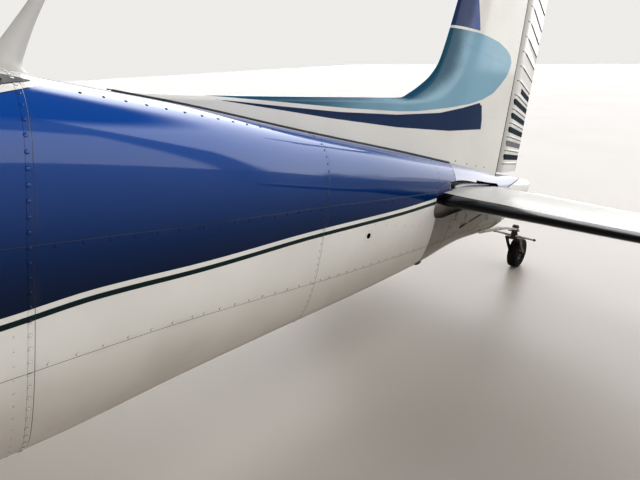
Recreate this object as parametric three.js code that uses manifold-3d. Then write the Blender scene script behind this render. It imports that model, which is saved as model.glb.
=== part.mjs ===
// A high-wing four-seat light aircraft on its tailwheel, built from named pieces.
// Millimetres. Everything on the airframe is drawn in the flying attitude:
// station s runs aft from the firewall (x = -s), y to port, z up from the propeller shaft.
// The last group tilts that frame nose up, as the aircraft parks on its three wheels.
import * as THREE from "three";
import { mergeVertices } from "three/addons/utils/BufferGeometryUtils.js";
import Module from "manifold-3d";

const wasm = await Module();
wasm.setup();

// Parked attitude
const NOSE_UP = 11.024;
const SHAFT_HEIGHT = 1394;
const FIREWALL_X = 2510;

// General fits
const FIT = 0.3;
const CLEAR = 6;
const WALL = 30;
const SKIN = 8;
const AROUND = 24;
const FAR = 1500;

// Body sections: station, top, bottom, half width, level of the widest point, roundness power
const COWLING = [
  [-1010, 170, -285, 280, -40, 2.2],
  [-975, 205, -335, 335, -40, 2.3],
  [-880, 255, -395, 402, -40, 2.5],
  [-500, 328, -436, 462, -20, 2.9],
  [0, 375, -430, 500, 20, 3.2],
];
const FUSELAGE = [
  [0, 375, -430, 500, 20, 3.2],
  [120, 412, -455, 525, 30, 3.2],
  [420, 620, -490, 555, 60, 3.2],
  [690, 822, -510, 565, 80, 3.3],
  [950, 880, -520, 565, 90, 3.4],
  [1350, 882, -520, 560, 110, 3.4],
  [1850, 862, -500, 535, 190, 3.35],
  [2350, 815, -468, 480, 300, 3.25],
  [2873, 742, -430, 404, 433, 3.16],
  [3440, 703, -335, 316, 407, 2.9],
  [4018, 648, -240, 226, 380, 2.63],
  [4885, 575, -55, 160, 365, 2.45],
  [5300, 537, 66, 122, 340, 2.35],
  [5700, 493, 124, 82, 322, 2.25],
  [5850, 486, 175, 62, 335, 2.2],
  [6000, 472, 285, 47, 385, 2.1],
  [6090, 460, 352, 36, 410, 2],
  [6140, 440, 390, 18, 416, 2],
];
const CABIN_END = 2873;

// Side views: points are station, height
const SILL = 275;
const DOORWAY = [[508, -372], [508, 246], [690, 662], [1436, 662], [1436, -130], [1300, -372]];
const DOOR_WINDOW = [[606, 292], [742, 602], [1376, 602], [1376, 292]];
const WINDSHIELD = [[-60, 384], [75, 384], [432, 288], [655, 690], [678, 760], [678, 980], [-60, 980]];
const SIDE_WINDOW = [[1520, 296], [1520, 640], [2200, 668], [2290, 392]];
const QUARTER_WINDOW = [[2352, 436], [2286, 672], [2560, 700], [2862, 716]];
const BAGGAGE_DOORWAY = [[2080, -180], [2080, 262], [2560, 262], [2560, -180]];
const FLOOR = -385;

// Wing: span station, leading edge station, chord, height of the quarter chord, incidence in degrees
const WING = [
  [380, 660, 1626, 777, 1.5],
  [2540, 660, 1626, 842, 1.5],
  [5260, 830, 1130, 924, -1.2],
];
const WING_TIP = [
  [5260.5, 830, 1130, 924, -1.2],
  [5400, 900, 1000, 934, -1.2],
  [5460, 1010, 760, 942, -1.2],
];
const CAMBER = 0.02;
const CAMBER_AT = 0.4;
const WING_THICKNESS = 0.12;
// Surfaces on the trailing edge: inner end, outer end, chord fraction of the hinge
const FLAP = { from: 640, to: 2530, hinge: 0.79 };
const AILERON = { from: 2550, to: 4960, hinge: 0.79 };

// Wing strut: station, half span place, height at each end, and its section
const STRUT = { foot: [470, 520, -440], head: [1010, 2560, 800], chord: 112, thick: 44 };

// Tailplane, drawn level about the elevator hinge and then trimmed
const TAIL_HINGE = [5550, 400];
const TRIM_PIVOT = [5440, 388];
const TRIM_REST = 3.87;
const ELEVATOR_REST = 6;
// half span, leading edge ahead of the hinge, trailing edge behind it, half thickness
const TAILPLANE = [
  [0, 661, 400, 50],
  [175, 661, 400, 50],
  [1560, 292, 352, 27],
  [1660, 230, 320, 20],
];
const ELEVATOR_ROOT = 128;
const HORN_FROM = 1500;
const BOOT = { width: 78, thick: 2.4, from: 176, to: 1480 };
const SLOT = [
  [4852, 300], [4872, 262], [4950, 256], [5085, 280], [5190, 294], [5440, 334], [5606, 356],
  [5606, 440], [5440, 450], [5270, 466], [5085, 464], [4950, 452], [4872, 420],
];

// Fin: height, leading edge station, half thickness
const RUDDER_HINGE = 5680;
const FIN = [
  [400, 3180, 22],
  [727, 3302, 20],
  [758, 3654, 21],
  [794, 3995, 23],
  [833, 4352, 27],
  [866, 4640, 34],
  [900, 4712, 44],
  [945, 4782, 47],
  [1000, 4850, 47],
  [1080, 4906, 46],
  [1190, 4938, 44],
  [1400, 4981, 41],
  [1760, 5053, 35],
  [1890, 5090, 32],
  [1940, 5140, 26],
];
const DORSAL_END = 4560;
const RUDDER_REST = 14.7;
const RUDDER = { foot: 508, horn: 1830, head: 1995, chord: 400, topChord: 345, half: 44, topHalf: 26 };

// Undercarriage
const MAIN_WHEEL = { radius: 222.5, width: 160, track: 2360, station: 417.5, height: -1112, sides: 22 };
const TAIL_WHEEL = { radius: 111.5, width: 68, station: 6226, height: -93.4, sides: 16 };
const KINGPIN = { station: 6095, head: 128 };
const TAIL_STEER_REST = 7.5;

// Propeller
const PROPELLER = { station: -1120, hub: 92, blades: 3, rest: 172 };
const SPINNER = [
  [-1352, 0], [-1340, 34], [-1300, 76], [-1240, 114], [-1170, 143], [-1100, 160], [-1030, 168]];

const COLOURS = {
  white: 0xe9e8e1, blue: 0x17399c, teal: 0x2b8391, grey: 0x8d9194, dark: 0x2b2d30,
  rubber: 0x161617, steel: 0x9a9ea3, glass: 0x33525c, cloth: 0x565b62, red: 0xb3231b,
};
const RAD = Math.PI / 180;
const aircraft = new THREE.Group();
const airframe = new THREE.Group();
airframe.rotation.y = -NOSE_UP * RAD;
airframe.position.set(FIREWALL_X, 0, SHAFT_HEIGHT);
aircraft.add(airframe);

// A closed geometry as a solid, turned the right way out.
function solidOf(geometry) {
  const bare = geometry.index ? geometry.toNonIndexed() : geometry.clone();
  const only = new THREE.BufferGeometry().setAttribute("position", bare.getAttribute("position"));
  const merged = mergeVertices(only, 1e-3);
  const triVerts = new Uint32Array(merged.index.array);
  const vertProperties = merged.attributes.position.array;
  const made = new wasm.Manifold(new wasm.Mesh({ numProp: 3, vertProperties, triVerts }));
  if (made.volume() >= 0) return made;
  for (let i = 0; i < triVerts.length; i += 3) {
    [triVerts[i + 1], triVerts[i + 2]] = [triVerts[i + 2], triVerts[i + 1]];
  }
  return new wasm.Manifold(new wasm.Mesh({ numProp: 3, vertProperties, triVerts }));
}

function geometryOf(solid) {
  const mesh = solid.getMesh();
  const places = new Float32Array(mesh.numVert * 3);
  for (let i = 0; i < mesh.numVert; i++) {
    places.set(mesh.vertProperties.subarray(i * mesh.numProp, i * mesh.numProp + 3), i * 3);
  }
  const geometry = new THREE.BufferGeometry();
  geometry.setAttribute("position", new THREE.BufferAttribute(places, 3));
  geometry.setIndex(new THREE.BufferAttribute(new Uint32Array(mesh.triVerts), 1));
  geometry.computeVertexNormals();
  return geometry;
}

function addPiece(name, solid, colour, parent = airframe, roughness = 0.35, metalness = 0) {
  const material = new THREE.MeshStandardMaterial({ color: COLOURS[colour], roughness, metalness });
  const mesh = new THREE.Mesh(geometryOf(solid), material);
  mesh.name = name;
  parent.add(mesh);
  return mesh;
}

// A solid through a row of rings with the same number of points; the end rings are flat.
function loft(rings, matrix = new THREE.Matrix4()) {
  const count = rings[0].length;
  const faces = [];
  for (let r = 0; r + 1 < rings.length; r++) {
    for (let i = 0; i < count; i++) {
      const j = (i + 1) % count;
      const a = r * count;
      const b = a + count;
      faces.push(a + i, a + j, b + j, a + i, b + j, b + i);
    }
  }
  const last = rings.length - 1;
  faces.push(...endCap(rings[0], 0, false), ...endCap(rings[last], last * count, true));
  const geometry = new THREE.BufferGeometry();
  geometry.setAttribute("position", new THREE.Float32BufferAttribute(rings.flat(2), 3));
  geometry.setIndex(faces);
  return solidOf(geometry.applyMatrix4(matrix));
}

// The sides run the first ring's edges forwards and the last ring's backwards, so each cap runs against them.
function endCap(ring, start, runsForward) {
  const area = (u, v) => Math.abs(ring.reduce((sum, p, i) => {
    const q = ring[(i + 1) % ring.length];
    return sum + p[u] * q[v] - q[u] * p[v];
  }, 0));
  const views = [[1, 2], [0, 2], [0, 1]];
  const [u, v] = views.reduce((best, view) => (area(...view) > area(...best) ? view : best));
  const triangles = THREE.ShapeUtils.triangulateShape(ring.map((p) => new THREE.Vector2(p[u], p[v])), []);
  const forward = triangles.some(([a, b, c]) =>
    [[a, b], [b, c], [c, a]].some(([p, q]) => q === (p + 1) % ring.length));
  return triangles.flatMap(([a, b, c]) =>
    (forward === runsForward ? [a, b, c] : [a, c, b]).map((i) => start + i));
}

function interpolate(table, at) {
  let k = 1;
  while (k < table.length - 1 && table[k][0] < at) k++;
  const [low, high] = [table[k - 1], table[k]];
  const share = (at - low[0]) / (high[0] - low[0]);
  return low.map((value, i) => value + (high[i] - value) * share);
}

// One body section: a superellipse whose upper and lower halves meet at the widest level.
function bodyRing([station, top, bottom, half, level, power], grow) {
  return Array.from({ length: AROUND }, (_, i) => {
    const angle = ((i + 0.5) / AROUND) * 2 * Math.PI;
    const [c, s] = [Math.cos(angle), Math.sin(angle)];
    const across = (half + grow) * Math.sign(c) * Math.abs(c) ** (2 / power);
    const reach = s > 0 ? top + grow - level : level - bottom + grow;
    return [-station, across, level + reach * Math.sign(s) * Math.abs(s) ** (2 / power)];
  });
}

function body(table, from, to, grow = 0) {
  const inside = table.filter(([station]) => station > from + 1 && station < to - 1);
  const rows = [interpolate(table, from), ...inside, interpolate(table, to)];
  return loft(rows.map((row) => bodyRing(row, grow)));
}

// A prism of a side view (station, height), between two places across the aircraft.
function sideCut(points, low = -FAR, high = FAR) {
  const shape = new THREE.Shape(points.map(([s, z]) => new THREE.Vector2(-s, z)));
  const geometry = new THREE.ExtrudeGeometry(shape, { depth: high - low, bevelEnabled: false });
  return solidOf(geometry.rotateX(Math.PI / 2).translate(0, high, 0));
}

// A prism of a top view (station, place across), between two heights.
function planCut(points, low, high) {
  const shape = new THREE.Shape(points.map(([s, y]) => new THREE.Vector2(-s, y)));
  const geometry = new THREE.ExtrudeGeometry(shape, { depth: high - low, bevelEnabled: false });
  return solidOf(geometry.translate(0, 0, low));
}

// A box between two corners given as station, across, height.
function box([s0, y0, z0], [s1, y1, z1]) {
  const size = [Math.abs(s1 - s0), Math.abs(y1 - y0), Math.abs(z1 - z0)];
  const geometry = new THREE.BoxGeometry(...size);
  return solidOf(geometry.translate(-(s0 + s1) / 2, (y0 + y1) / 2, (z0 + z1) / 2));
}

// A round bar between two points given as station, across, height.
function bar(from, to, radius, endRadius = radius, sides = 12) {
  const [a, b] = [from, to].map(([s, y, z]) => new THREE.Vector3(-s, y, z));
  const along = b.clone().sub(a);
  const geometry = new THREE.CylinderGeometry(endRadius, radius, along.length(), sides);
  geometry.translate(0, along.length() / 2, 0);
  geometry.applyQuaternion(
    new THREE.Quaternion().setFromUnitVectors(new THREE.Vector3(0, 1, 0), along.normalize()));
  return solidOf(geometry.translate(a.x, a.y, a.z));
}

// An outline drawn in by a distance.
function inset(points, distance) {
  const count = points.length;
  const area = points.reduce((sum, [x, y], i) => {
    const [nx, ny] = points[(i + 1) % count];
    return sum + x * ny - nx * y;
  }, 0);
  const side = Math.sign(area);
  const edges = points.map(([x, y], i) => {
    const [nx, ny] = points[(i + 1) % count];
    const length = Math.hypot(nx - x, ny - y);
    const [dx, dy] = [(nx - x) / length, (ny - y) / length];
    return { x: x - dy * side * distance, y: y + dx * side * distance, dx, dy };
  });
  return edges.map((edge, i) => {
    const before = edges[(i + count - 1) % count];
    const cross = before.dx * edge.dy - before.dy * edge.dx;
    const t = ((edge.x - before.x) * edge.dy - (edge.y - before.y) * edge.dx) / cross;
    return [before.x + before.dx * t, before.y + before.dy * t];
  });
}

const SIDES = [["left", 1], ["right", -1]];
const hinges = {};

// Fuselage shells
const cabinOuter = body(FUSELAGE, 0, CABIN_END);
const cabinFit = body([...COWLING.slice(0, -1), ...FUSELAGE], -400, 3400, FIT);
const tailFit = body(FUSELAGE, 2500, 6140, FIT);
const cabinInner = body(FUSELAGE, 20, CABIN_END + 20, -WALL)
  .subtract(box([0, -FAR, FLOOR - 400], [3000, FAR, FLOOR]));
const cabinShell = cabinOuter.subtract(cabinInner);
const doorways = [
  ["door_left", DOORWAY, 1], ["door_right", DOORWAY, -1], ["baggage_door", BAGGAGE_DOORWAY, 1],
];
let cabin = cabinShell;
for (const [, outline, side] of doorways) {
  cabin = cabin.subtract(sideCut(outline, side > 0 ? 150 : -FAR, side > 0 ? FAR : -150));
}
for (const outline of [SIDE_WINDOW, QUARTER_WINDOW, WINDSHIELD]) cabin = cabin.subtract(sideCut(outline));
const upperHalf = box([-50, -FAR, SILL + FIT], [3000, FAR, 1200]);
const lowerHalf = box([-50, -FAR, -900], [3000, FAR, SILL]);
let cabinUpper = cabin.intersect(upperHalf);
let cabinLower = cabin.intersect(lowerHalf);

// Glass: thin sheets a little under the skin
const glassSheet = body(FUSELAGE, 1, CABIN_END - 1, -2).subtract(body(FUSELAGE, -20, CABIN_END + 20, -8));
const pane = (outline, side) => glassSheet
  .intersect(sideCut(inset(outline, FIT), side < 0 ? -FAR : 30, side < 0 ? -30 : FAR));
const windshieldPane = glassSheet.intersect(sideCut(inset(WINDSHIELD, FIT)));

// Doors, each hung on two knuckles on an upright line just outside the skin
const KNUCKLE = { radius: 8, height: 44, arm: 34, reach: 42 };
const doorHinge = { station: 500, across: 573, heights: [-150, 110] };
const baggageHinge = { station: 2072, across: 528, heights: [-60, 160] };
const DOOR_GAP = CLEAR + 3;

function knuckles({ station, across, heights }, front, side) {
  const behindEdge = cabinFit.intersect(box([0, -FAR, -900], [front + DOOR_GAP, FAR, 1200]));
  const outer = side * (across + 4);
  const inner = side * (across - KNUCKLE.reach);
  const at = (z) => [station, side * across, z];
  const moving = [];
  const fixed = [];
  for (const z of heights) {
    const arm = box([station, outer, z], [station + KNUCKLE.arm, inner, z + KNUCKLE.height]);
    moving.push(bar(at(z), at(z + KNUCKLE.height), KNUCKLE.radius), arm.subtract(behindEdge));
    const low = z - KNUCKLE.height - FIT;
    fixed.push(bar(at(low), at(z - FIT), KNUCKLE.radius));
    fixed.push(box([station, outer, low], [station - KNUCKLE.arm, inner, z - FIT]));
  }
  return [moving, fixed];
}

for (const [name, outline, side] of doorways) {
  const hinge = name === "baggage_door" ? baggageHinge : doorHinge;
  const [moving, fixed] = knuckles(hinge, outline[0][0], side);
  let door = cabinShell.intersect(
    sideCut(inset(outline, DOOR_GAP), side > 0 ? 150 : -FAR, side > 0 ? FAR : -150));
  if (name !== "baggage_door") {
    door = door.subtract(sideCut(DOOR_WINDOW));
    addPiece(name.replace("door", "door_window"), pane(DOOR_WINDOW, side), "glass", airframe, 0.05);
  }
  for (const knuckle of moving) door = door.add(knuckle);
  for (const knuckle of fixed) cabinLower = cabinLower.add(knuckle);
  addPiece(name, door, name === "baggage_door" ? "blue" : "white");
  hinges[name] = { point: [hinge.station, side * hinge.across, 0], axis: [0, 0, -side] };
}

addPiece("windshield", windshieldPane, "glass", airframe, 0.05);
for (const [name, side] of SIDES) {
  addPiece(`side_window_${name}`, pane(SIDE_WINDOW, side), "glass", airframe, 0.05);
  addPiece(`quarter_window_${name}`, pane(QUARTER_WINDOW, side), "glass", airframe, 0.05);
}

// Cowling: upper and lower shells with two cooling inlets and a cooling outlet
const cowlInner = body([...COWLING.slice(0, -1), [60, 382, -432, 506, 22, 3.2]], -1004, 50, -6);
let cowl = body(COWLING, -1010, -FIT).subtract(cowlInner);
for (const side of [1, -1]) cowl = cowl.subtract(bar([-1100, side * 205, 20], [-940, side * 190, 20], 62));
cowl = cowl.subtract(bar([-1100, 0, 0], [-900, 0, 0], 118));
cowl = cowl.subtract(box([-190, -210, -600], [10, 210, -380]));
addPiece("cowl_upper", cowl.intersect(box([-1200, -FAR, -20 + FIT], [10, FAR, 600])), "blue");
addPiece("cowl_lower", cowl.intersect(box([-1200, -FAR, -600], [10, FAR, -20])), "white");

const CRANKSHAFT = 55;
// Engine: one plain block on four mounts at the firewall, its shaft and two tailpipes
let engine = box([-880, -330, -150], [-150, 330, 130]);
for (const y of [-230, 230]) {
  for (const z of [-110, 90]) engine = engine.add(bar([-200, y, z], [-FIT, y, z], 22, 22, 8));
}
engine = engine.add(bar([-870, 0, 0], [-1090, 0, 0], CRANKSHAFT, CRANKSHAFT, 24));
engine = engine.add(box([-760, -180, -260], [-300, 180, -140]));
for (const y of [-130, 130]) {
  engine = engine.add(bar([-420, y, -240], [-100, y, -420], 30, 30, 10))
    .add(bar([-110, y, -412], [20, y, -560], 30, 30, 10));
}
addPiece("engine_block", engine, "dark", airframe, 0.6, 0.4);

// Propeller and spinner, drawn about the shaft and turned to the parked angle
const shaft = new THREE.Group();
shaft.position.set(-PROPELLER.station, 0, 0);
shaft.rotation.x = PROPELLER.rest * RAD;
airframe.add(shaft);
// blade rows: radius, chord, thickness, pitch in degrees
const BLADE = [
  [150, 86, 76, 62],
  [260, 128, 46, 50],
  [480, 158, 26, 34],
  [760, 146, 16, 24],
  [960, 108, 9, 19],
  [1015, 52, 5, 18],
];
function bladeRing([radius, chord, thick, pitch]) {
  const points = 10;
  return Array.from({ length: points }, (_, i) => {
    const angle = (i / points) * 2 * Math.PI;
    const along = (chord / 2) * Math.cos(angle);
    const up = (thick / 2) * Math.sin(angle);
    const [c, s] = [Math.cos(pitch * RAD), Math.sin(pitch * RAD)];
    return [along * s + up * c, along * c - up * s, radius];
  });
}
const spinnerProfile = SPINNER.map(([s, r]) => [s - PROPELLER.station, r]);
const spinnerBack = spinnerProfile[spinnerProfile.length - 1][0];
const backPlate = spinnerBack - 6;
// The hub stands on the spinner's back plate, and the shaft goes through both
const shaftHole = bar([spinnerBack + 10, 0, 0], [25, 0, 0], CRANKSHAFT + 3 * FIT, CRANKSHAFT + 3 * FIT, 24);
let propeller = bar([backPlate - FIT, 0, 0], [-60, 0, 0], PROPELLER.hub, PROPELLER.hub, 24);
let bladeHoles = shaftHole;
for (let k = 0; k < PROPELLER.blades; k++) {
  const turn = new THREE.Matrix4().makeRotationX((k / PROPELLER.blades) * 2 * Math.PI);
  const turned = (rings) => loft(rings, turn);
  const root = (radius) => [60, 60 + 110].map((r) =>
    Array.from({ length: 16 }, (_, i) => [
      radius * Math.cos((i / 8) * Math.PI), radius * Math.sin((i / 8) * Math.PI), r]));
  propeller = propeller.add(turned(root(40))).add(turned(BLADE.map(bladeRing)));
  bladeHoles = bladeHoles.add(turned([58, 200].map((r) =>
    Array.from({ length: 16 }, (_, i) => [
      48 * Math.cos((i / 8) * Math.PI), 48 * Math.sin((i / 8) * Math.PI), r]))));
}
addPiece("propeller", propeller.subtract(shaftHole), "grey", shaft, 0.4, 0.6);
function lathe(profile) {
  const points = profile.map(([s, r]) => new THREE.Vector2(r, s));
  const geometry = new THREE.LatheGeometry(points, 20);
  return solidOf(geometry.rotateZ(Math.PI / 2));
}
const spinnerOuter = lathe([...spinnerProfile, [spinnerBack, 0]]);
const spinnerInner = lathe([[spinnerProfile[0][0] + 20, 0], [-100, 118], [backPlate, 150], [backPlate, 0]]);
addPiece("spinner", spinnerOuter.subtract(spinnerInner).subtract(bladeHoles), "white", shaft, 0.2, 0.3);
hinges.propeller_spin = { point: [PROPELLER.station, 0, 0], axis: [1, 0, 0] };

// Wing sections: four-digit profile with a blunt trailing edge
const CHORD_STEPS = [0, 0.006, 0.025, 0.07, 0.15, 0.28, 0.45, 0.62, 0.79, 0.9, 1];
function profileAt(x) {
  const half = 5 * WING_THICKNESS *
    (0.2969 * Math.sqrt(x) - 0.126 * x - 0.3516 * x ** 2 + 0.2843 * x ** 3 - 0.1015 * x ** 4) + 0.0012 * x;
  const camber = x < CAMBER_AT
    ? (CAMBER / CAMBER_AT ** 2) * (2 * CAMBER_AT * x - x * x)
    : (CAMBER / (1 - CAMBER_AT) ** 2) * (1 - 2 * CAMBER_AT + 2 * CAMBER_AT * x - x * x);
  return [camber, half];
}
function wingPoint([y, lead, chord, quarter, incidence], x, offset) {
  const [c, s] = [Math.cos(incidence * RAD), Math.sin(incidence * RAD)];
  const back = (x - 0.25) * chord;
  return [lead + 0.25 * chord + back * c + offset * s, y, quarter - back * s + offset * c];
}
function wingRing(row) {
  const upper = CHORD_STEPS.map((x) => {
    const [camber, half] = profileAt(x);
    return wingPoint(row, x, (camber + half) * row[2]);
  });
  const lower = CHORD_STEPS.slice(1).reverse().map((x) => {
    const [camber, half] = profileAt(x);
    return wingPoint(row, x, (camber - half) * row[2]);
  });
  return [...upper, ...lower];
}
const toSpace = (ring, side = 1) => ring.map(([s, y, z]) => [-s, side * y, z]);

// A hinged surface: the rear of the wing section behind a half-round nose on the hinge line.
function surfaceRing(row, hinge) {
  const [camber, half] = profileAt(hinge);
  const radius = (half * row[2]) - 1;
  const [hs, , hz] = wingPoint(row, hinge, camber * row[2]);
  const tail = [0.88, 1];
  const upper = tail.map((x) => {
    const [c, h] = profileAt(x);
    return wingPoint(row, x, (c + h) * row[2]);
  });
  const lower = tail.slice().reverse().map((x) => {
    const [c, h] = profileAt(x);
    return wingPoint(row, x, (c - h) * row[2]);
  });
  const nose = Array.from({ length: 7 }, (_, i) => {
    const angle = (-90 - i * 30) * RAD;
    return [hs + radius * Math.cos(angle), row[0], hz + radius * Math.sin(angle)];
  });
  return [...upper, ...lower, ...nose];
}
function hingeOf(row, hinge) {
  const [camber, half] = profileAt(hinge);
  const point = wingPoint(row, hinge, camber * row[2]);
  return { point, radius: half * row[2] - 1 };
}

// A plate on the fixed surface that ends in an eye on the hinge line, and the notch for it in the moving one.
function hingeBracket(at, end, radius, reach) {
  const along = new THREE.Vector3(...end.map((v, i) => v - at[i])).normalize();
  const ahead = new THREE.Vector3(-1, 0, 0).addScaledVector(along, along.x).normalize();
  const up = new THREE.Vector3().crossVectors(along, ahead);
  const place = (y, s, z) => new THREE.Vector3(...at)
    .addScaledVector(along, y).addScaledVector(ahead, s).addScaledVector(up, z).toArray();
  const half = 4;
  const eye = bar(place(-half, 0, 0), place(half, 0, 0), 12, 12, 8);
  const plate = loft([-half, half].map((y) => toSpace(
    [place(y, 0, -9), place(y, reach, -9), place(y, reach, 9), place(y, 0, 9)])));
  const room = half + FIT;
  return [eye.add(plate), bar(place(-room, 0, 0), place(room, 0, 0), radius + 10, radius + 10, 10)];
}

for (const [name, side] of SIDES) {
  let wing = loft(WING.map((row) => toSpace(wingRing(row), side))).subtract(cabinFit);
  for (const [label, surface] of [["flap", FLAP], ["aileron", AILERON]]) {
    const rows = [surface.from, surface.to].map((y) => interpolate(WING, y));
    const ends = rows.map((row) => hingeOf(row, surface.hinge));
    const cut = [
      [ends[0].point[0] - ends[0].radius - CLEAR, side * (surface.from - CLEAR)],
      [ends[1].point[0] - ends[1].radius - CLEAR, side * (surface.to + CLEAR)],
      [3200, side * (surface.to + CLEAR)],
      [3200, side * (surface.from - CLEAR)],
    ];
    wing = wing.subtract(planCut(cut, 400, 1200));
    let moving = loft(rows.map((row) => toSpace(surfaceRing(row, surface.hinge), side)));
    for (const share of [0.12, 0.5, 0.88]) {
      const [near, far] = ends.map(({ point: [s, y, z] }) => [s, side * y, z]);
      const at = near.map((v, i) => v + (far[i] - v) * share);
      const radius = ends[0].radius + (ends[1].radius - ends[0].radius) * share;
      const [bracket, notch] = hingeBracket(at, far, radius, radius + CLEAR + 25);
      moving = moving.subtract(notch);
      wing = wing.add(bracket);
    }
    addPiece(`${label}_${name}`, moving, "white");
    const [from, to] = ends.map(({ point: [s, y, z] }) => [s, side * y, z]);
    hinges[`${label}_${name}`] = { point: from, to };
  }
  // Flat pad under the wing at the head of the strut, where a line or a rack is fastened
  wing = wing.add(box([1180, side * 2600, 745], [1260, side * 2680, 800]));
  addPiece(`wing_${name}`, wing, "white");
  addPiece(`wing_tip_${name}`, loft(WING_TIP.map((row) => toSpace(wingRing(row), side))), "white");

  // Strut: a streamlined tube cut to the fuselage and to the wing's lower skin
  const [foot, head] = [STRUT.foot, STRUT.head].map(([s, y, z]) => [s, side * y, z]);
  const strutRing = ([s, y, z]) => Array.from({ length: 16 }, (_, i) => {
    const angle = (i / 16) * 2 * Math.PI;
    return [-s - (STRUT.chord / 2) * Math.cos(angle), y, z + (STRUT.thick / 2) * Math.sin(angle) * 1.15];
  });
  const wingFit = loft(WING.map(([y, lead, chord, quarter, incidence]) => toSpace(
    wingRing([y, lead - FIT, chord + 2 * FIT, quarter - FIT, incidence]), side)));
  const strut = loft([strutRing(foot), strutRing(head)])
    .subtract(cabinFit).subtract(wingFit).subtract(box([0, -3000, 860], [3000, 3000, 1200]));
  addPiece(`strut_${name}`, strut, "white");
}

// Tail cone: solid to the tail bay, then a shell with a slot each side for the tailplane.
// The tail cap meets it on a slanting joint.
const CAP_JOINT = [[5905, 0], [5700, 300], [5762, 420], [5960, 470], [5985, 700], [6500, 700], [6500, 0]];
const BAY = [4730, 5650];
let tailcone = body(FUSELAGE, CABIN_END + FIT, 6140);
tailcone = tailcone.subtract(body(FUSELAGE, BAY[0], BAY[1], -SKIN)).subtract(sideCut(SLOT));
const tailCap = body(FUSELAGE, 4000, 6140).intersect(sideCut(inset(CAP_JOINT, FIT)));
tailcone = tailcone.subtract(sideCut(CAP_JOINT));

// Tailplane: stabilizer trimmed about its rear pivot
const tailTilt = new THREE.Matrix4().makeRotationY(TRIM_REST * RAD)
  .setPosition(-TAIL_HINGE[0], 0, TAIL_HINGE[1]);
const tilted = (ring) => ring.map((p) => new THREE.Vector3(...p).applyMatrix4(tailTilt).toArray());
const TAIL_STEPS = [0, 0.01, 0.04, 0.1, 0.2, 0.35];
const tailHalf = (x, half) =>
  half * 1.02 * Math.min(1, Math.sqrt(Math.max(0, 1 - (1 - Math.min(1, x / 0.3)) ** 2)));
// Half thickness along the tailplane: round nose, flat middle, then a straight taper to the trailing edge.
function tailThickness(x, half) {
  return x < 0.3 ? tailHalf(x, half) : half * (1.02 - ((x - 0.3) / 0.7) * 0.97);
}
function noseRadius([, lead, trail, half]) {
  return tailThickness(lead / (lead + trail), half) - 1;
}
function tailRing(row, grow = 0) {
  const [y, lead, trail, half] = row;
  const chord = lead + trail;
  const end = lead - noseRadius(row) - CLEAR;
  const places = [...TAIL_STEPS.map((x) => x * chord), end];
  const upper = places.map((d) => [lead - d + (d ? 0 : grow), y, tailThickness(d / chord, half) + grow]);
  const lower = places.slice().reverse().map((d) =>
    [lead - d + (d ? 0 : grow), y, -tailThickness(d / chord, half) - grow]);
  return [...upper, ...lower];
}
const bothSides = (rows) => [
  ...rows.slice(1).reverse().map(([y, ...rest]) => [-y, ...rest]), ...rows];
let stabilizer = loft(bothSides(TAILPLANE.slice(0, 3)).map((row) => tilted(tailRing(row))));

// Root plates ride with the stabilizer inside the skin and close the slots behind its upper surface
const plateOutline = [
  [4870, 300], [4870, 452], [5085, 482], [5190, 486], [5440, 468], [5480, 460], [5480, 330], [5190, 300]];
const PLATE_INSET = SKIN + 34;
const plates = body(FUSELAGE, 4760, 5600, -PLATE_INSET)
  .subtract(body(FUSELAGE, 4700, 5640, -PLATE_INSET - 4)).intersect(sideCut(plateOutline));
stabilizer = stabilizer.add(plates);
// Pivot post in the tail cone, and the notch for it in the stabilizer
const post = box([TRIM_PIVOT[0] - 18, -15, 90], [TRIM_PIVOT[0] + 18, 15, TRIM_PIVOT[1]])
  .add(bar([TRIM_PIVOT[0], -15, TRIM_PIVOT[1]], [TRIM_PIVOT[0], 15, TRIM_PIVOT[1]], 18));
stabilizer = stabilizer.subtract(
  bar([TRIM_PIVOT[0], -15 - FIT, TRIM_PIVOT[1]], [TRIM_PIVOT[0], 15 + FIT, TRIM_PIVOT[1]], 62, 62, 12));
stabilizer = stabilizer.subtract(box([TRIM_PIVOT[0], -15 - FIT, 300], [5700, 15 + FIT, 500]));
tailcone = tailcone.add(post.intersect(body(FUSELAGE, 5300, 5600, -2)));
hinges.stabilizer_trim = { point: [TRIM_PIVOT[0], 0, TRIM_PIVOT[1]], axis: [0, 1, 0] };

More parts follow.
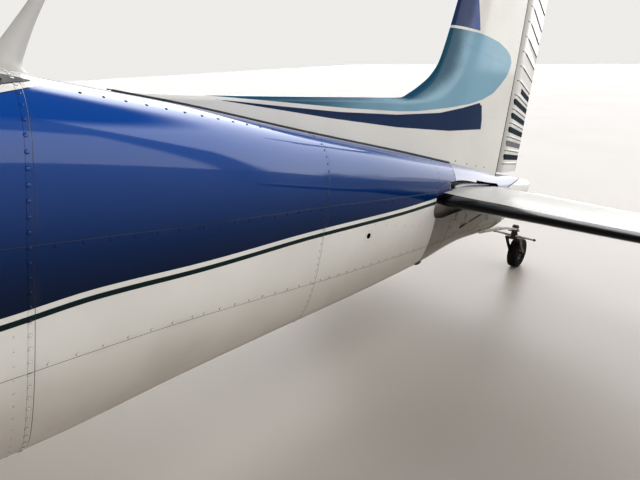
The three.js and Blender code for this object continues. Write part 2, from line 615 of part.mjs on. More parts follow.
// Elevator, one piece across the tail, drawn about its hinge line and drooped
const elevatorGroup = new THREE.Group();
elevatorGroup.position.set(-TAIL_HINGE[0], 0, TAIL_HINGE[1]);
elevatorGroup.rotation.y = (TRIM_REST - ELEVATOR_REST) * RAD;
airframe.add(elevatorGroup);
function elevatorRing(row, rootCut = 0) {
  const [y, lead, trail, half] = row;
  const chord = lead + trail;
  const radius = noseRadius(row);
  const nose = Array.from({ length: 7 }, (_, i) => {
    const angle = (90 - i * 30) * RAD;
    return [radius * Math.cos(angle), y, radius * Math.sin(angle)];
  });
  const lower = [0.5, 1].map((k) =>
    [-trail * k, y + rootCut * k, -tailThickness((lead + trail * k) / chord, half)]);
  const upper = lower.slice().reverse().map(([x, yy, z]) => [x, yy, -z]);
  return [...nose, ...lower, ...upper];
}
function elevatorHalf(side) {
  const rows = [interpolate(TAILPLANE, ELEVATOR_ROOT + 1), interpolate(TAILPLANE, 1560), TAILPLANE[3]];
  const rings = rows.map((row, i) => elevatorRing(row, i ? 0 : 88));
  let half = loft(rings.map((ring) => ring.map(([x, y, z]) => [x, side * y, z])));
  // Horn balance ahead of the hinge line at the tip
  const hornRows = [interpolate(TAILPLANE, HORN_FROM + CLEAR + 2), TAILPLANE[3]];
  const horn = loft(hornRows.map((row) => {
    const [y, lead, trail, thick] = row;
    const steps = [0, 0.01, 0.04, 0.1, 0.2, 0.35, (lead + 60) / (lead + trail)];
    const upper = steps.map((x) => [lead - x * (lead + trail), side * y, tailThickness(x, thick) - 0.5]);
    const lower = steps.slice(1).reverse().map((x) =>
      [lead - x * (lead + trail), side * y, 0.5 - tailThickness(x, thick)]);
    return [...upper, ...lower];
  }));
  return half.add(horn);
}
let elevator = elevatorHalf(1).add(elevatorHalf(-1)).add(bar([0, -160, 0], [0, 160, 0], 16));
// The stabilizer ends inboard of the horns
const hornSlab = (side) => box([5000, side * HORN_FROM, 100], [5700, side * 1800, 700]);
stabilizer = stabilizer.subtract(hornSlab(1)).subtract(hornSlab(-1));
const tiltPoint = (x, y, z) => {
  const p = new THREE.Vector3(x, y, z).applyMatrix4(tailTilt);
  return [-p.x, p.y, p.z];
};
for (const y of [-1300, -450, 450, 1300]) {
  const radius = noseRadius(interpolate(TAILPLANE, Math.abs(y)));
  stabilizer = stabilizer.add(bar(tiltPoint(0, y - 4, 0), tiltPoint(0, y + 4, 0), 10))
    .add(box([TAIL_HINGE[0] - radius - CLEAR - 20, y - 4, TAIL_HINGE[1] - 8],
      [TAIL_HINGE[0], y + 4, TAIL_HINGE[1] + 7]));
  const notch = bar([0, y - 4 - FIT, 0], [0, y + 4 + FIT, 0], radius + 8, radius + 8, 10);
  elevator = elevator.subtract(notch);
}
addPiece("elevator", elevator, "white", elevatorGroup);
hinges.elevator = { point: [TAIL_HINGE[0], 0, TAIL_HINGE[1]], axis: [0, 1, 0] };
addPiece("stabilizer", stabilizer, "white");

// Rubber boots over the stabilizer's leading edges
function bootRing(row, grow) {
  const [y, lead, trail, half] = row;
  const chord = lead + trail;
  const places = [0, 0.012, 0.03, 0.055].map((x) => x * chord).concat(BOOT.width);
  const upper = places.map((d) => [lead - d + (d ? 0 : grow), y, tailThickness(d / chord, half) + grow]);
  const lower = places.slice().reverse().map((d) =>
    [lead - d + (d ? 0 : grow), y, -tailThickness(d / chord, half) - grow]);
  return [...upper, ...lower];
}
for (const [name, side] of SIDES) {
  const rows = [BOOT.from, BOOT.to].map((y) => interpolate(TAILPLANE, y));
  const sheet = loft(rows.map((row) =>
    tilted(bootRing(row, BOOT.thick).map(([x, y, z]) => [x, side * y, z]))));
  const core = loft(bothSides(TAILPLANE.slice(0, 3)).map((row) => tilted(tailRing(row, FIT))));
  addPiece(`boot_${name}`, sheet.subtract(core), "rubber", airframe, 0.25);
}

// Fin and dorsal fillet, cut to the fuselage top
function finRing([z, lead, half]) {
  const chord = RUDDER_HINGE - lead;
  const nose = Math.min(260, chord * 0.4);
  const end = chord - (RUDDER.half - 2) - CLEAR;
  const rear = end - 320;
  const places = [0, nose * 0.04, nose * 0.15, nose * 0.4, nose];
  places.push(rear > nose + 40 ? rear : nose + (end - nose) * 0.5, end);
  const thin = Math.min(half, 20);
  const width = (d) => {
    const round = Math.sqrt(Math.max(0, 1 - (1 - Math.min(1, d / nose)) ** 2));
    const station = lead + d;
    const blend = Math.min(1, Math.max(0, (station - 4400) / 600));
    const full = z < 900 ? 46 : half;
    return round * (thin + (full - thin) * blend);
  };
  const port = places.map((d) => [-(lead + d), width(d), z]);
  const starboard = places.slice(1).reverse().map((d) => [-(lead + d), -width(d), z]);
  return [...port, ...starboard];
}
const finAll = loft(FIN.map(finRing)).subtract(tailFit);
addPiece("dorsal_fin", finAll.intersect(box([3000, -200, 400], [DORSAL_END - FIT, 200, 1200])), "teal");
let fin = finAll.intersect(box([DORSAL_END, -200, 400], [5700, 200, 1960]));

// Rudder, drawn about its hinge line and turned as it was parked
const rudderGroup = new THREE.Group();
rudderGroup.position.set(-RUDDER_HINGE, 0, 0);
rudderGroup.rotation.z = RUDDER_REST * RAD;
airframe.add(rudderGroup);
function rudderRow(z) {
  const share = (z - RUDDER.foot) / (RUDDER.head - RUDDER.foot);
  return [z, RUDDER.chord + (RUDDER.topChord - RUDDER.chord) * share,
    RUDDER.half + (RUDDER.topHalf - RUDDER.half) * share];
}
function rudderRing([z, chord, half]) {
  const nose = Array.from({ length: 7 }, (_, i) => {
    const angle = (90 - i * 30) * RAD;
    return [half * Math.cos(angle), half * Math.sin(angle), z];
  });
  return [...nose, [-chord, -3, z], [-chord, 3, z]];
}
let rudder = loft([RUDDER.foot, RUDDER.horn, RUDDER.head].map((z) => rudderRing(rudderRow(z))));
const hornFoot = 1962;
rudder = rudder.add(loft([hornFoot, RUDDER.head].map((z) => {
  const [, , half] = rudderRow(z);
  return [[190, 0, z], [180, half * 0.5, z], [140, half * 0.85, z], [0, half, z], [-40, half * 0.8, z],
    [-40, -half * 0.8, z], [0, -half, z], [140, -half * 0.85, z], [180, -half * 0.5, z]];
})));
for (const z of [720, 1180, 1660]) {
  fin = fin.add(bar([RUDDER_HINGE, 0, z - 4], [RUDDER_HINGE, 0, z + 4], 12))
    .add(box([RUDDER_HINGE - 90, -9, z - 4], [RUDDER_HINGE, 9, z + 4]));
  rudder = rudder.subtract(bar([0, 0, z - 4 - FIT], [0, 0, z + 4 + FIT], 54, 54, 10));
}
addPiece("fin", fin, "teal");
addPiece("rudder", rudder, "white", rudderGroup);
hinges.rudder = { point: [RUDDER_HINGE, 0, 0], axis: [0, 0, 1] };
addPiece("beacon", bar([5300, 0, 1940 + FIT], [5300, 0, 1975], 32, 20, 20), "red");

// Main undercarriage: sprung steel legs, axles, wheels
// A tyre's radius is to its flats, and one flat faces the floor.
function wheelParts({ radius, width, sides }, rimRadius, bore) {
  const half = width / 2;
  const round = radius / Math.cos(Math.PI / sides);
  const tyreProfile = [
    [-half * 0.72, rimRadius + 2 * FIT], [-half, (rimRadius + radius) / 2],
    [-half * 0.86, round * 0.93], [-half * 0.4, round], [half * 0.4, round],
    [half * 0.86, round * 0.93], [half, (rimRadius + radius) / 2],
    [half * 0.72, rimRadius + 2 * FIT], [-half * 0.72, rimRadius + 2 * FIT],
  ];
  const rimProfile = [
    [-half * 0.8, bore], [-half * 0.8, rimRadius * 0.5], [-half * 0.55, rimRadius * 0.62],
    [-half * 0.55, rimRadius - 10], [-half * 0.74, rimRadius], [half * 0.74, rimRadius],
    [half * 0.55, rimRadius - 10], [half * 0.55, rimRadius * 0.62], [half * 0.8, rimRadius * 0.5],
    [half * 0.8, bore], [-half * 0.8, bore],
  ];
  const turn = (profile) => solidOf(new THREE.LatheGeometry(
    profile.map(([y, r]) => new THREE.Vector2(r, y)), sides));
  return [turn(tyreProfile), turn(rimProfile)];
}
// How far a wheel is rolled, in degrees, so that a flat lies on the floor below an axle turned by the castor.
function rolled(sides, castorTurn) {
  const down = 180 + Math.atan(Math.tan(NOSE_UP * RAD) * Math.cos(castorTurn * RAD)) / RAD;
  const step = 360 / sides;
  return down - (Math.floor(down / step) + 0.5) * step;
}
const AXLE = 19;
for (const [name, side] of SIDES) {
  const across = (side * MAIN_WHEEL.track) / 2;
  const wheel = new THREE.Group();
  wheel.position.set(-MAIN_WHEEL.station, across, MAIN_WHEEL.height);
  wheel.rotation.y = rolled(MAIN_WHEEL.sides, 0) * RAD;
  airframe.add(wheel);
  const [tyre, rim] = wheelParts(MAIN_WHEEL, 76, AXLE + 2 * FIT);
  addPiece(`tyre_${name}`, tyre, "rubber", wheel, 0.9);
  addPiece(`rim_${name}`, rim, "white", wheel, 0.4, 0.3);
  hinges[`wheel_${name}_spin`] = { point: [MAIN_WHEEL.station, across, MAIN_WHEEL.height], axis: [0, 1, 0] };
  // Leg rows: across, height, half chord, half thickness
  const legRows = [
    [380, -400, 90, 15], [620, -560, 78, 14], [860, -790, 64, 12],
    [1040, -1060, 52, 11], [1062, -1150, 50, 11]];
  const leg = loft(legRows.map(([y, z, c, t], i) => {
    const from = legRows[Math.max(0, i - 1)];
    const to = legRows[Math.min(legRows.length - 1, i + 1)];
    const length = Math.hypot(to[0] - from[0], to[1] - from[1]);
    const [ny, nz] = [-(to[1] - from[1]) / length, (to[0] - from[0]) / length];
    const centre = 430 - (MAIN_WHEEL.station - 430) * -1 * (i / (legRows.length - 1));
    return [[c, 1], [c, -1], [-c, -1], [-c, 1]].map(([k, e]) =>
      [-(centre + k), side * (y + ny * t * e), z + nz * t * e]);
  })).subtract(cabinFit);
  const axle = bar([MAIN_WHEEL.station, side * 1050, MAIN_WHEEL.height],
    [MAIN_WHEEL.station, across + side * 70, MAIN_WHEEL.height], AXLE);
  const hub = bar([MAIN_WHEEL.station, side * 1062, MAIN_WHEEL.height],
    [MAIN_WHEEL.station, across - side * 66, MAIN_WHEEL.height], 34);
  addPiece(`gear_leg_${name}`, leg.add(axle).add(hub), "steel", airframe, 0.4, 0.5);
}

// Tail wheel: leaf spring, swivelling fork, wheel
const springRows = [[5600, 96, 20], [5760, 104, 19], [5900, 108, 17], [6040, 98, 15], [6121, 88, 14]];
const SPRING_HALF = 19;
let spring = loft(springRows.map(([s, z, t]) => [
  [-s, SPRING_HALF, z], [-s, -SPRING_HALF, z], [-s, -SPRING_HALF, z + t], [-s, SPRING_HALF, z + t]]));
spring = spring.subtract(tailFit);
spring = spring.add(bar([KINGPIN.station, 0, 70], [KINGPIN.station, 0, KINGPIN.head], 20));
addPiece("tail_spring", spring, "steel", airframe, 0.5, 0.5);
const castor = new THREE.Group();
castor.position.set(-KINGPIN.station, 0, 0);
castor.rotation.z = TAIL_STEER_REST * RAD;
airframe.add(castor);
const axleBack = TAIL_WHEEL.station - KINGPIN.station;
let fork = bar([0, 0, 30], [0, 0, 70 - FIT], 24);
fork = fork.add(box([-26, -52, 22], [60, 52, 40]));
for (const side of [1, -1]) {
  fork = fork.add(loft([
    [[-10, 46, 24], [50, 46, 24], [50, 53, 24], [-10, 53, 24]],
    [[60, 46, -30], [110, 46, -30], [110, 53, -30], [60, 53, -30]],
    [[axleBack - 18, 46, -114], [axleBack + 18, 46, -114],
      [axleBack + 18, 53, -114], [axleBack - 18, 53, -114]],
  ].map((ring) => toSpace(ring, side))));
  fork = fork.add(bar([0, side * 20, 50], [-10, side * 150, 50], 8));
}
fork = fork.add(bar([axleBack, -56, TAIL_WHEEL.height], [axleBack, 56, TAIL_WHEEL.height], 9));
addPiece("tail_fork", fork, "steel", castor, 0.5, 0.5);
const tailWheel = new THREE.Group();
tailWheel.position.set(-axleBack, 0, TAIL_WHEEL.height);
tailWheel.rotation.y = rolled(TAIL_WHEEL.sides, TAIL_STEER_REST) * RAD;
castor.add(tailWheel);
const [tailTyre, tailRim] = wheelParts(TAIL_WHEEL, 46, 9 + 2 * FIT);
addPiece("tail_tyre", tailTyre, "rubber", tailWheel, 0.9);
addPiece("tail_rim", tailRim, "steel", tailWheel, 0.4, 0.5);
hinges.tailwheel_swivel = { point: [KINGPIN.station, 0, 0], axis: [0, 0, 1] };
const castorTurn = new THREE.Matrix4().makeRotationZ(TAIL_STEER_REST * RAD)
  .setPosition(-KINGPIN.station, 0, 0);
const tailAxle = new THREE.Vector3(-axleBack, 0, TAIL_WHEEL.height).applyMatrix4(castorTurn);
const tailAxis = new THREE.Vector3(0, 1, 0).transformDirection(castorTurn);
hinges.tailwheel_spin = {
  point: [-tailAxle.x, tailAxle.y, tailAxle.z], axis: [-tailAxis.x, tailAxis.y, tailAxis.z] };

// Aerial: a swept blade on the cabin roof
const aerialRing = (s, z, chord, thick) => [
  [-s, 0, z], [-(s + chord * 0.4), thick, z], [-(s + chord), 0, z], [-(s + chord * 0.4), -thick, z]];
const aerial = loft([
  aerialRing(2850, 700, 95, 9), aerialRing(2975, 953, 36, 6), aerialRing(3080, 1150, 20, 4)]);
addPiece("antenna", aerial.subtract(cabinFit), "white");

// Cabin furniture
let panel = box([250, -470, 30], [290, 470, 352]);
for (const side of [1, -1]) {
  panel = panel.add(bar([290, side * 260, 190], [430, side * 260, 190], 11, 11, 12));
  panel = panel.add(box([430, side * 260 - 130, 176], [452, side * 260 + 130, 204]));
  panel = panel.add(box([430, side * 260 - 130, 190], [452, side * 260 - 106, 290]));
  panel = panel.add(box([430, side * 260 + 106, 190], [452, side * 260 + 130, 290]));
}
panel = panel.subtract(body(FUSELAGE, 10, 260, 0).subtract(body(FUSELAGE, 0, 300, -WALL - FIT)));
panel = panel.intersect(body(FUSELAGE, 20, 800, -WALL - FIT));
function chair(station, across, width, legs) {
  const half = width / 2;
  let made = box([station, across - half, -190], [station + 470, across + half, -70]);
  const back = [
    [station + 420, -70], [station + 520, 440], [station + 600, 430],
    [station + 510, -190], [station + 420, -190]];
  made = made.add(sideCut(back, across - half, across + half));
  for (const y of [across - legs, across + legs]) {
    made = made.add(box([station + 40, y - 12, FLOOR + FIT], [station + 420, y + 12, -180]));
  }
  return made;
}
addPiece("instrument_panel", panel, "dark", airframe, 0.7);
addPiece("seat_front_left", chair(770, 262, 430, 110), "cloth", airframe, 0.9);
addPiece("seat_front_right", chair(770, -262, 430, 110), "cloth", airframe, 0.9);
addPiece("seat_rear", chair(1570, 0, 840, 300), "cloth", airframe, 0.9);
addPiece("cabin_upper", cabinUpper, "white");
addPiece("cabin_lower", cabinLower, "white");
addPiece("tailcone", tailcone, "blue");
addPiece("tail_cap", tailCap, "white");

aircraft.userData.hinges = hinges;
export default aircraft;
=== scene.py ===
# A high-wing light aircraft parked on its tailwheel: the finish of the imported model. Each section below is
# one piece of the aircraft, from the tail that the photograph shows forward to the nose.
import math
import bmesh
import bpy
import numpy as np
from mathutils import Matrix, Vector


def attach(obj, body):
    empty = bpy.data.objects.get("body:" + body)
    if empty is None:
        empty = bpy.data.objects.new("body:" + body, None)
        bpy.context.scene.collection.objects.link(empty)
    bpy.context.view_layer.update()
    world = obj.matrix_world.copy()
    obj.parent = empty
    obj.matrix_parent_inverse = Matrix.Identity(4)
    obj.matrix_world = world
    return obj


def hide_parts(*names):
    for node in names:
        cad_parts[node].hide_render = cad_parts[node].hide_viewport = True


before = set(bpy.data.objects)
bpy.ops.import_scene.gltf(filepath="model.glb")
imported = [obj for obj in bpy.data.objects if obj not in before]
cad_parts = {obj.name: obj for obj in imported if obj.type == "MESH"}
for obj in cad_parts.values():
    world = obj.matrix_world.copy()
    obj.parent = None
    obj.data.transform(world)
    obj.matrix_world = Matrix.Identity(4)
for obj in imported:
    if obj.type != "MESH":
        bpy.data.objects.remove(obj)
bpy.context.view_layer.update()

def placed(name, data):
    """A new object in the scene, at the origin and unturned."""
    made = bpy.data.objects.new(name, data)
    bpy.context.scene.collection.objects.link(made)
    return made


# Camera: it stands abreast of the rear cabin on the port side, 1.6 m above the floor, and looks aft and down.
# Its place and direction come from the photograph's seams, its wall lines and the tail wheel.
eye = Vector((-0.179, 1.789, 1.594))
heading, dip, roll = (math.radians(v) for v in (50.614, 20.504, -1.947))
sight = Vector((-math.cos(heading) * math.cos(dip), -math.sin(heading) * math.cos(dip), -math.sin(dip)))
level_right = sight.cross(Vector((0, 0, 1))).normalized()
level_up = level_right.cross(sight)
view_right = level_right * math.cos(roll) + level_up * math.sin(roll)
view_up = level_up * math.cos(roll) - level_right * math.sin(roll)
camera_data = bpy.data.cameras.new("camera")
camera_data.sensor_width = 36
camera_data.lens = 28.634
camera_data.clip_start = 0.02
camera_data.clip_end = 200
camera = placed("camera", camera_data)
camera.matrix_world = Matrix((
    (view_right.x, view_up.x, -sight.x, eye.x),
    (view_right.y, view_up.y, -sight.y, eye.y),
    (view_right.z, view_up.z, -sight.z, eye.z),
    (0, 0, 0, 1),
))
bpy.context.scene.camera = camera


# Studio: a pale floor, an even pale sky and soft panels of light, as in a bright white hangar.
# The sky and the panels are what the gloss paint mirrors.
class Wire:
    """A shader socket that takes part in sums, so that a finish reads as a formula."""

    def __init__(self, finish, socket):
        self.finish = finish
        self.socket = socket

    def math(self, operation, *others):
        return self.finish.node("ShaderNodeMath", {0: self, **{i + 1: v for i, v in enumerate(others)}},
                                operation=operation)

    def operator(operation):
        """Makes a method that feeds this socket and any others into one kind of Math node."""
        return lambda self, *others: self.math(operation, *others)

    __add__ = __radd__ = operator("ADD")
    __sub__ = operator("SUBTRACT")
    __mul__ = __rmul__ = operator("MULTIPLY")
    __truediv__ = operator("DIVIDE")
    __pow__ = operator("POWER")
    __gt__ = operator("GREATER_THAN")
    __lt__ = operator("LESS_THAN")
    most = operator("MAXIMUM")
    least = operator("MINIMUM")
    size = operator("ABSOLUTE")

    def __rsub__(self, other):
        return self * -1 + other

    def rise(self, low, high, to_low=0.0, to_high=1.0):
        """Runs smoothly from to_low to to_high while the socket goes from low to high."""
        return self.finish.node("ShaderNodeMapRange", {0: self, 1: low, 2: high, 3: to_low, 4: to_high},
                                interpolation_type="SMOOTHSTEP")


class Finish:
    """A surface finish: one material with a Principled shader, fed by formulas of sockets."""

    def __init__(self, name, **values):
        self.material = bpy.data.materials.new(name)
        self.material.use_nodes = True
        self.tree = self.material.node_tree
        self.shader = self.tree.nodes["Principled BSDF"]
        self.wears(**values)

    def node(self, kind, inputs=None, output=0, **settings):
        """Adds any node: inputs are numbers, colours or wires by socket name or place."""
        made = self.tree.nodes.new(kind)
        for key, value in settings.items():
            setattr(made, key, value)
        for key, value in (inputs or {}).items():
            if isinstance(value, Wire):
                self.tree.links.new(value.socket, made.inputs[key])
            else:
                made.inputs[key].default_value = value
        return Wire(self, made.outputs[output])

    def wears(self, **values):
        """Sets or wires the shader's own sockets, named with underscores for spaces."""
        for key, value in values.items():
            socket = self.shader.inputs[key.replace("_", " ")]
            if isinstance(value, Wire):
                self.tree.links.new(value.socket, socket)
            else:
                socket.default_value = (*value, 1) if isinstance(value, tuple) and len(value) == 3 else value

    def here(self):
        return self.node("ShaderNodeTexCoord", output="Object")

    def field(self, name):
        """A number that the piece's mesh carries at each point."""
        return self.node("ShaderNodeAttribute", output="Fac", attribute_name=name)

    def mottle(self, scale, detail=3.0):
        """Soft noise from 0 to 1; the scale is in patches per metre."""
        inputs = {"Vector": self.here(), "Scale": scale, "Detail": detail, "Roughness": 0.5}
        return self.node("ShaderNodeTexNoise", inputs, output="Fac")

    def mix(self, share, first, second):
        """Blends two colours: all first at share 0, all second at share 1."""
        colours = [(*c, 1) if isinstance(c, tuple) else c for c in (first, second)]
        return self.node("ShaderNodeMix", {0: share, 6: colours[0], 7: colours[1]},
                         output=2, data_type="RGBA")

    def relief(self, height, depth):
        """A normal tipped by a height field; depth is in metres."""
        return self.node("ShaderNodeBump", {"Height": height, "Distance": depth, "Strength": 1.0})


def soft_panel(name, place, aim, width, height, watts):
    """A rectangular lamp at place that faces aim."""
    lamp = bpy.data.lights.new(name, "AREA")
    lamp.shape = "RECTANGLE"
    lamp.size = width
    lamp.size_y = height
    lamp.energy = watts
    holder = placed(name, lamp)
    holder.location = place
    holder.rotation_euler = (Vector(aim) - Vector(place)).to_track_quat("-Z", "Y").to_euler()
    holder.visible_glossy = False


class Sky(Finish):
    """The world behind everything, fed by the same formulas as a finish."""

    def __init__(self, name):
        world = bpy.data.worlds.new(name)
        world.use_nodes = True
        bpy.context.scene.world = world
        self.tree = world.node_tree
        self.shader = self.tree.nodes["Background"]


# A bright hall: pale walls up to 42 degrees above the floor, a dim roof over them, and to port and aft a
# glazed front in two bays, which the blue side mirrors as two bright fields with a dark post between
sky = Sky("hall")
way = sky.node("ShaderNodeTexCoord", output="Generated")
ahead, port, up = (sky.node("ShaderNodeSeparateXYZ", {0: way}, place) for place in range(3))
level = (ahead * ahead + port * port) ** 0.5


def toward(azimuth):
    """How squarely a direction points along an azimuth: 1 along it, 0 square to it."""
    turn = math.radians(azimuth)
    return (ahead * math.cos(turn) + port * math.sin(turn)) / level


wall = up.rise(0.60, 0.72, 1.0, 0.0)
bay_one = toward(118).rise(0.925, 0.94) * up.rise(0.44, 0.50, 1.0, 0.0)
over_head_height = toward(205).rise(0.53, 0.56) * up.rise(0.13, 0.18)
bay_two = toward(171).rise(0.905, 0.92).most(over_head_height) * wall
glow = wall * 0.66 + 0.18 + bay_one * 2.0 + bay_two * 3.0
sky.wears(Color=sky.mix(bay_two, (1.0, 0.985, 0.965), (0.98, 0.985, 1.0)), Strength=glow)
bpy.context.scene.view_settings.view_transform = "Standard"
bpy.context.scene.view_settings.look = "None"
bpy.context.scene.view_settings.exposure = 0.06
bpy.context.scene.view_settings.gamma = 0.86
soft_panel("tail_light", (-3.0, 2.0, 6.5), (-3.0, 0.2, 0.7), 4, 2.5, 80)
soft_panel("roof_light", (1.5, -4.0, 7.5), (1.0, -0.5, 0.8), 8, 4, 100)
soft_panel("nose_light", (8.0, 5.0, 6.0), (1.5, 0, 1.2), 6, 5, 90)

floor_mesh = bpy.data.meshes.new("floor")
floor_mesh.from_pydata([(-40, -40, 0), (40, -40, 0), (40, 40, 0), (-40, 40, 0)], [], [(0, 1, 2, 3)])
floor = placed("floor", floor_mesh)
floor_paint = Finish("floor_paint", Roughness=0.42)
floor_paint.wears(Base_Color=floor_paint.mix(floor_paint.mottle(0.6, 6.0),
                                             (0.42, 0.385, 0.35), (0.51, 0.475, 0.44)))
floor_mesh.materials.append(floor_paint.material)


# Fuselage skin: 0.8 mm aluminium sheet over formed frames and stringers, lapped and riveted at each frame.
# The tail cone and the two cabin shells are one finely worked skin here, cut where the doors,
# windows and the tailplane's slots are, and enamelled blue above a stripe and white below it.
pitch = math.radians(11.024)
# Sections: station, top, bottom, half width, level of the widest point, roundness power
HULL = [
    [0, 375, -430, 500, 20, 3.2],
    [120, 412, -455, 525, 30, 3.2],
    [420, 620, -490, 555, 60, 3.2],
    [690, 822, -510, 565, 80, 3.3],
    [950, 880, -520, 565, 90, 3.4],
    [1350, 882, -520, 560, 110, 3.4],
    [1850, 862, -500, 535, 190, 3.35],
    [2350, 815, -468, 480, 300, 3.25],
    [2873, 742, -430, 404, 433, 3.16],
    [3440, 703, -335, 316, 407, 2.9],
    [4018, 648, -240, 226, 380, 2.63],
    [4885, 575, -55, 160, 365, 2.45],
    [5300, 537, 66, 122, 340, 2.35],
    [5700, 493, 124, 82, 322, 2.25],
    [5850, 486, 175, 62, 335, 2.2],
    [6000, 472, 285, 47, 385, 2.1],
    [6090, 460, 352, 36, 410, 2],
    [6140, 440, 390, 18, 416, 2],
]
SIDES = (("left", 1), ("right", -1))
# Places where the sheets lap, seen from the side: rings by station, lines by station and height
HULL_RINGS = [420, 1436, 2060, 2890, 4026, 5052]
UPPER_LINE = [[1480, 285], [2200, 292], [2812, 318], [3384, 332], [4006, 357], [4883, 406], [5052, 420]]
LOWER_LINE = [[420, -250], [2200, -120], [2809, -48], [3422, -7], [3929, 5], [4900, 96], [5650, 180]]
STRIPE = [[-1010, -110], [0, -75], [1400, -10], [2200, 48], [2809, 119],
          [3051, 156], [3394, 181], [3860, 228], [4543, 305], [4905, 360], [5100, 385]]
ROOF_EDGE = [[-1010, 900], [590, 900], [600, 250], [1400, 252], [2330, 392],
             [2600, 548], [2821, 679], [2951, 715], [2975, 790]]


def axes(places):
    """An array of places split into its three coordinates."""
    return np.moveaxis(np.asarray(places, float), -1, 0)


def swing(a, b, angle):
    """Two coordinates turned by an angle, the first towards the second."""
    c, k = math.cos(angle), math.sin(angle)
    return a * c - b * k, a * k + b * c


def parked(places):
    """Flying-attitude places (mm aft of the firewall, to port, above the shaft) as metres on the floor:
    turned nose up about the firewall by the parking pitch, then lifted onto the wheels."""
    aft, port, high = axes(places) / 1000
    back, up = swing(aft, high, -pitch)
    return np.stack([2.510 - back, port, 1.394 + up], -1)


def flying(points):
    """The reverse of parked: metres on the floor back to stations, places across and heights in mm."""
    x, y, z = axes(points)
    ahead, high = swing(x - 2.510, z - 1.394, -pitch)
    return np.stack([-ahead, y, high], -1) * 1000


def smooth(table, at):
    """Rows of a table read at new places of its first column, by cubic pieces.
    The slope at each row is the harmonic mean of the slopes either side, so no piece overshoots."""
    rows = np.asarray(table, float)
    places, values = rows[:, 0], rows[:, 1:]
    at = np.asarray(at, float)
    step = np.diff(places)[:, None]
    rise = np.diff(values, axis=0) / step
    before, after = 2 * step[1:] + step[:-1], step[1:] + 2 * step[:-1]
    with np.errstate(divide="ignore", invalid="ignore"):
        mean = (before + after) / (before / rise[:-1] + after / rise[1:])
    slope = np.vstack([rise[:1], np.where(rise[:-1] * rise[1:] > 0, mean, 0), rise[-1:]])
    k = np.clip(np.searchsorted(places, at) - 1, 0, len(places) - 2)
    width = (places[k + 1] - places[k])[..., None]
    t = (at - places[k])[..., None] / width
    return (values[k] * (1 + 2 * t) * (1 - t) ** 2 + slope[k] * width * t * (1 - t) ** 2
            + values[k + 1] * t ** 2 * (3 - 2 * t) + slope[k + 1] * width * t ** 2 * (t - 1))


def hull_ring(rows, turn, grow=0.0):
    """Superellipse sections in polar form: |across / half| ^ power + |rise / reach| ^ power = 1,
    where reach runs from the widest level to the top or to the belly."""
    top, bottom, half, level, power = (rows[:, i, None] for i in range(5))
    c, k = np.cos(turn)[None], np.sin(turn)[None]
    reach = np.where(k > 0, top + grow - level, level - bottom + grow)
    r = (np.abs(c / (half + grow)) ** power + np.abs(k / reach) ** power) ** (-1 / power)
    return r * c, level + r * k


def hull_grid(table, stations, count, grow=0.0):
    """A grid of body places: one row of points around for each station."""
    turn = np.arange(count) / count * 2 * np.pi
    across, high = hull_ring(smooth(table, stations), turn, grow)
    return spread(np.asarray(stations, float)[:, None], across, high)


def circle(count):
    """Angles in even steps round one full turn."""
    return np.linspace(0, 2 * np.pi, count, endpoint=False)


def weave(grid, ends=True):
    """Points and four-sided faces of a grid whose rows close on themselves.
    With `ends` the first and last rows are filled by one flat face each."""
    rows, count = grid.shape[:2]
    number = np.arange(rows * count).reshape(rows, count)
    beside = np.roll(number, -1, axis=1)
    faces = np.stack([number[:-1], beside[:-1], beside[1:], number[1:]], -1).reshape(-1, 4).tolist()
    if ends:
        faces += [number[0, ::-1].tolist(), number[-1].tolist()]
    return grid.reshape(-1, 3), faces


def spread(*columns):
    """Places from numbers for each axis, spread over each other where one is a row and another a column."""
    return np.stack(np.broadcast_arrays(*columns), -1)


def put_together(parts):
    """Joins several (points, faces) into one list of points and one of faces."""
    points, faces, start = [], [], 0
    for some, their in parts:
        points.append(some)
        faces += [[start + i for i in face] for face in their]
        start += len(some)
    return np.concatenate(points), faces


def raw_piece(name, points, faces, outward=True):
    """An object at the origin from places in the flying attitude, its faces turned outward."""
    mesh = bpy.data.meshes.new(name)
    mesh.from_pydata(parked(points).tolist(), [], faces)
    if outward:
        work = bmesh.new()
        work.from_mesh(mesh)
        bmesh.ops.recalc_face_normals(work, faces=work.faces)
        work.to_mesh(mesh)
        work.free()
    return placed(name, mesh)


def solid(name, grid):
    """A closed piece from one grid of places."""
    return raw_piece(name, *weave(grid))


def joined(name, parts, move=None, outward=True):
    """One piece from several sets of points and faces, carried by move where it is given."""
    points, faces = put_together(parts)
    return raw_piece(name, move(points) if move else points, faces, outward)


def finished(made, finish, body="airframe", crease=32, replaces=()):
    """Shades the piece smooth except over edges sharper than crease degrees, paints it and sets it on
    its body."""
    mesh = made.data
    mesh.polygons.foreach_set("use_smooth", [True] * len(mesh.polygons))
    mesh.set_sharp_from_angle(angle=math.radians(crease))
    mesh.materials.clear()
    mesh.materials.append(finish.material)
    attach(made, body)
    if replaces:
        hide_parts(*replaces)
    return made


def worked_out(made):
    """Gives the piece the mesh that its modifiers make, and takes them off."""
    bpy.context.view_layer.update()
    result = bpy.data.meshes.new_from_object(made.evaluated_get(bpy.context.evaluated_depsgraph_get()))
    made.modifiers.clear()
    made.data = result
    return result


def carve(made, kind, *tools):
    """Joins tools to a piece, cuts them from it or keeps what they share, and takes the tools away."""
    for tool in tools:
        step = made.modifiers.new("carve", "BOOLEAN")
        step.operation = kind
        step.solver = "MANIFOLD"
        step.object = tool
        old = made.data
        worked_out(made)
        bpy.data.meshes.remove(old)
        bpy.data.objects.remove(tool)
    return made


def cut(made, *tools):
    return carve(made, "DIFFERENCE", *tools)


def body_solid(name, table, stations, grow):
    """The whole body between two stations as one closed solid, grown or shrunk by a set distance."""
    return solid(name, hull_grid(table, stations, 168, grow))


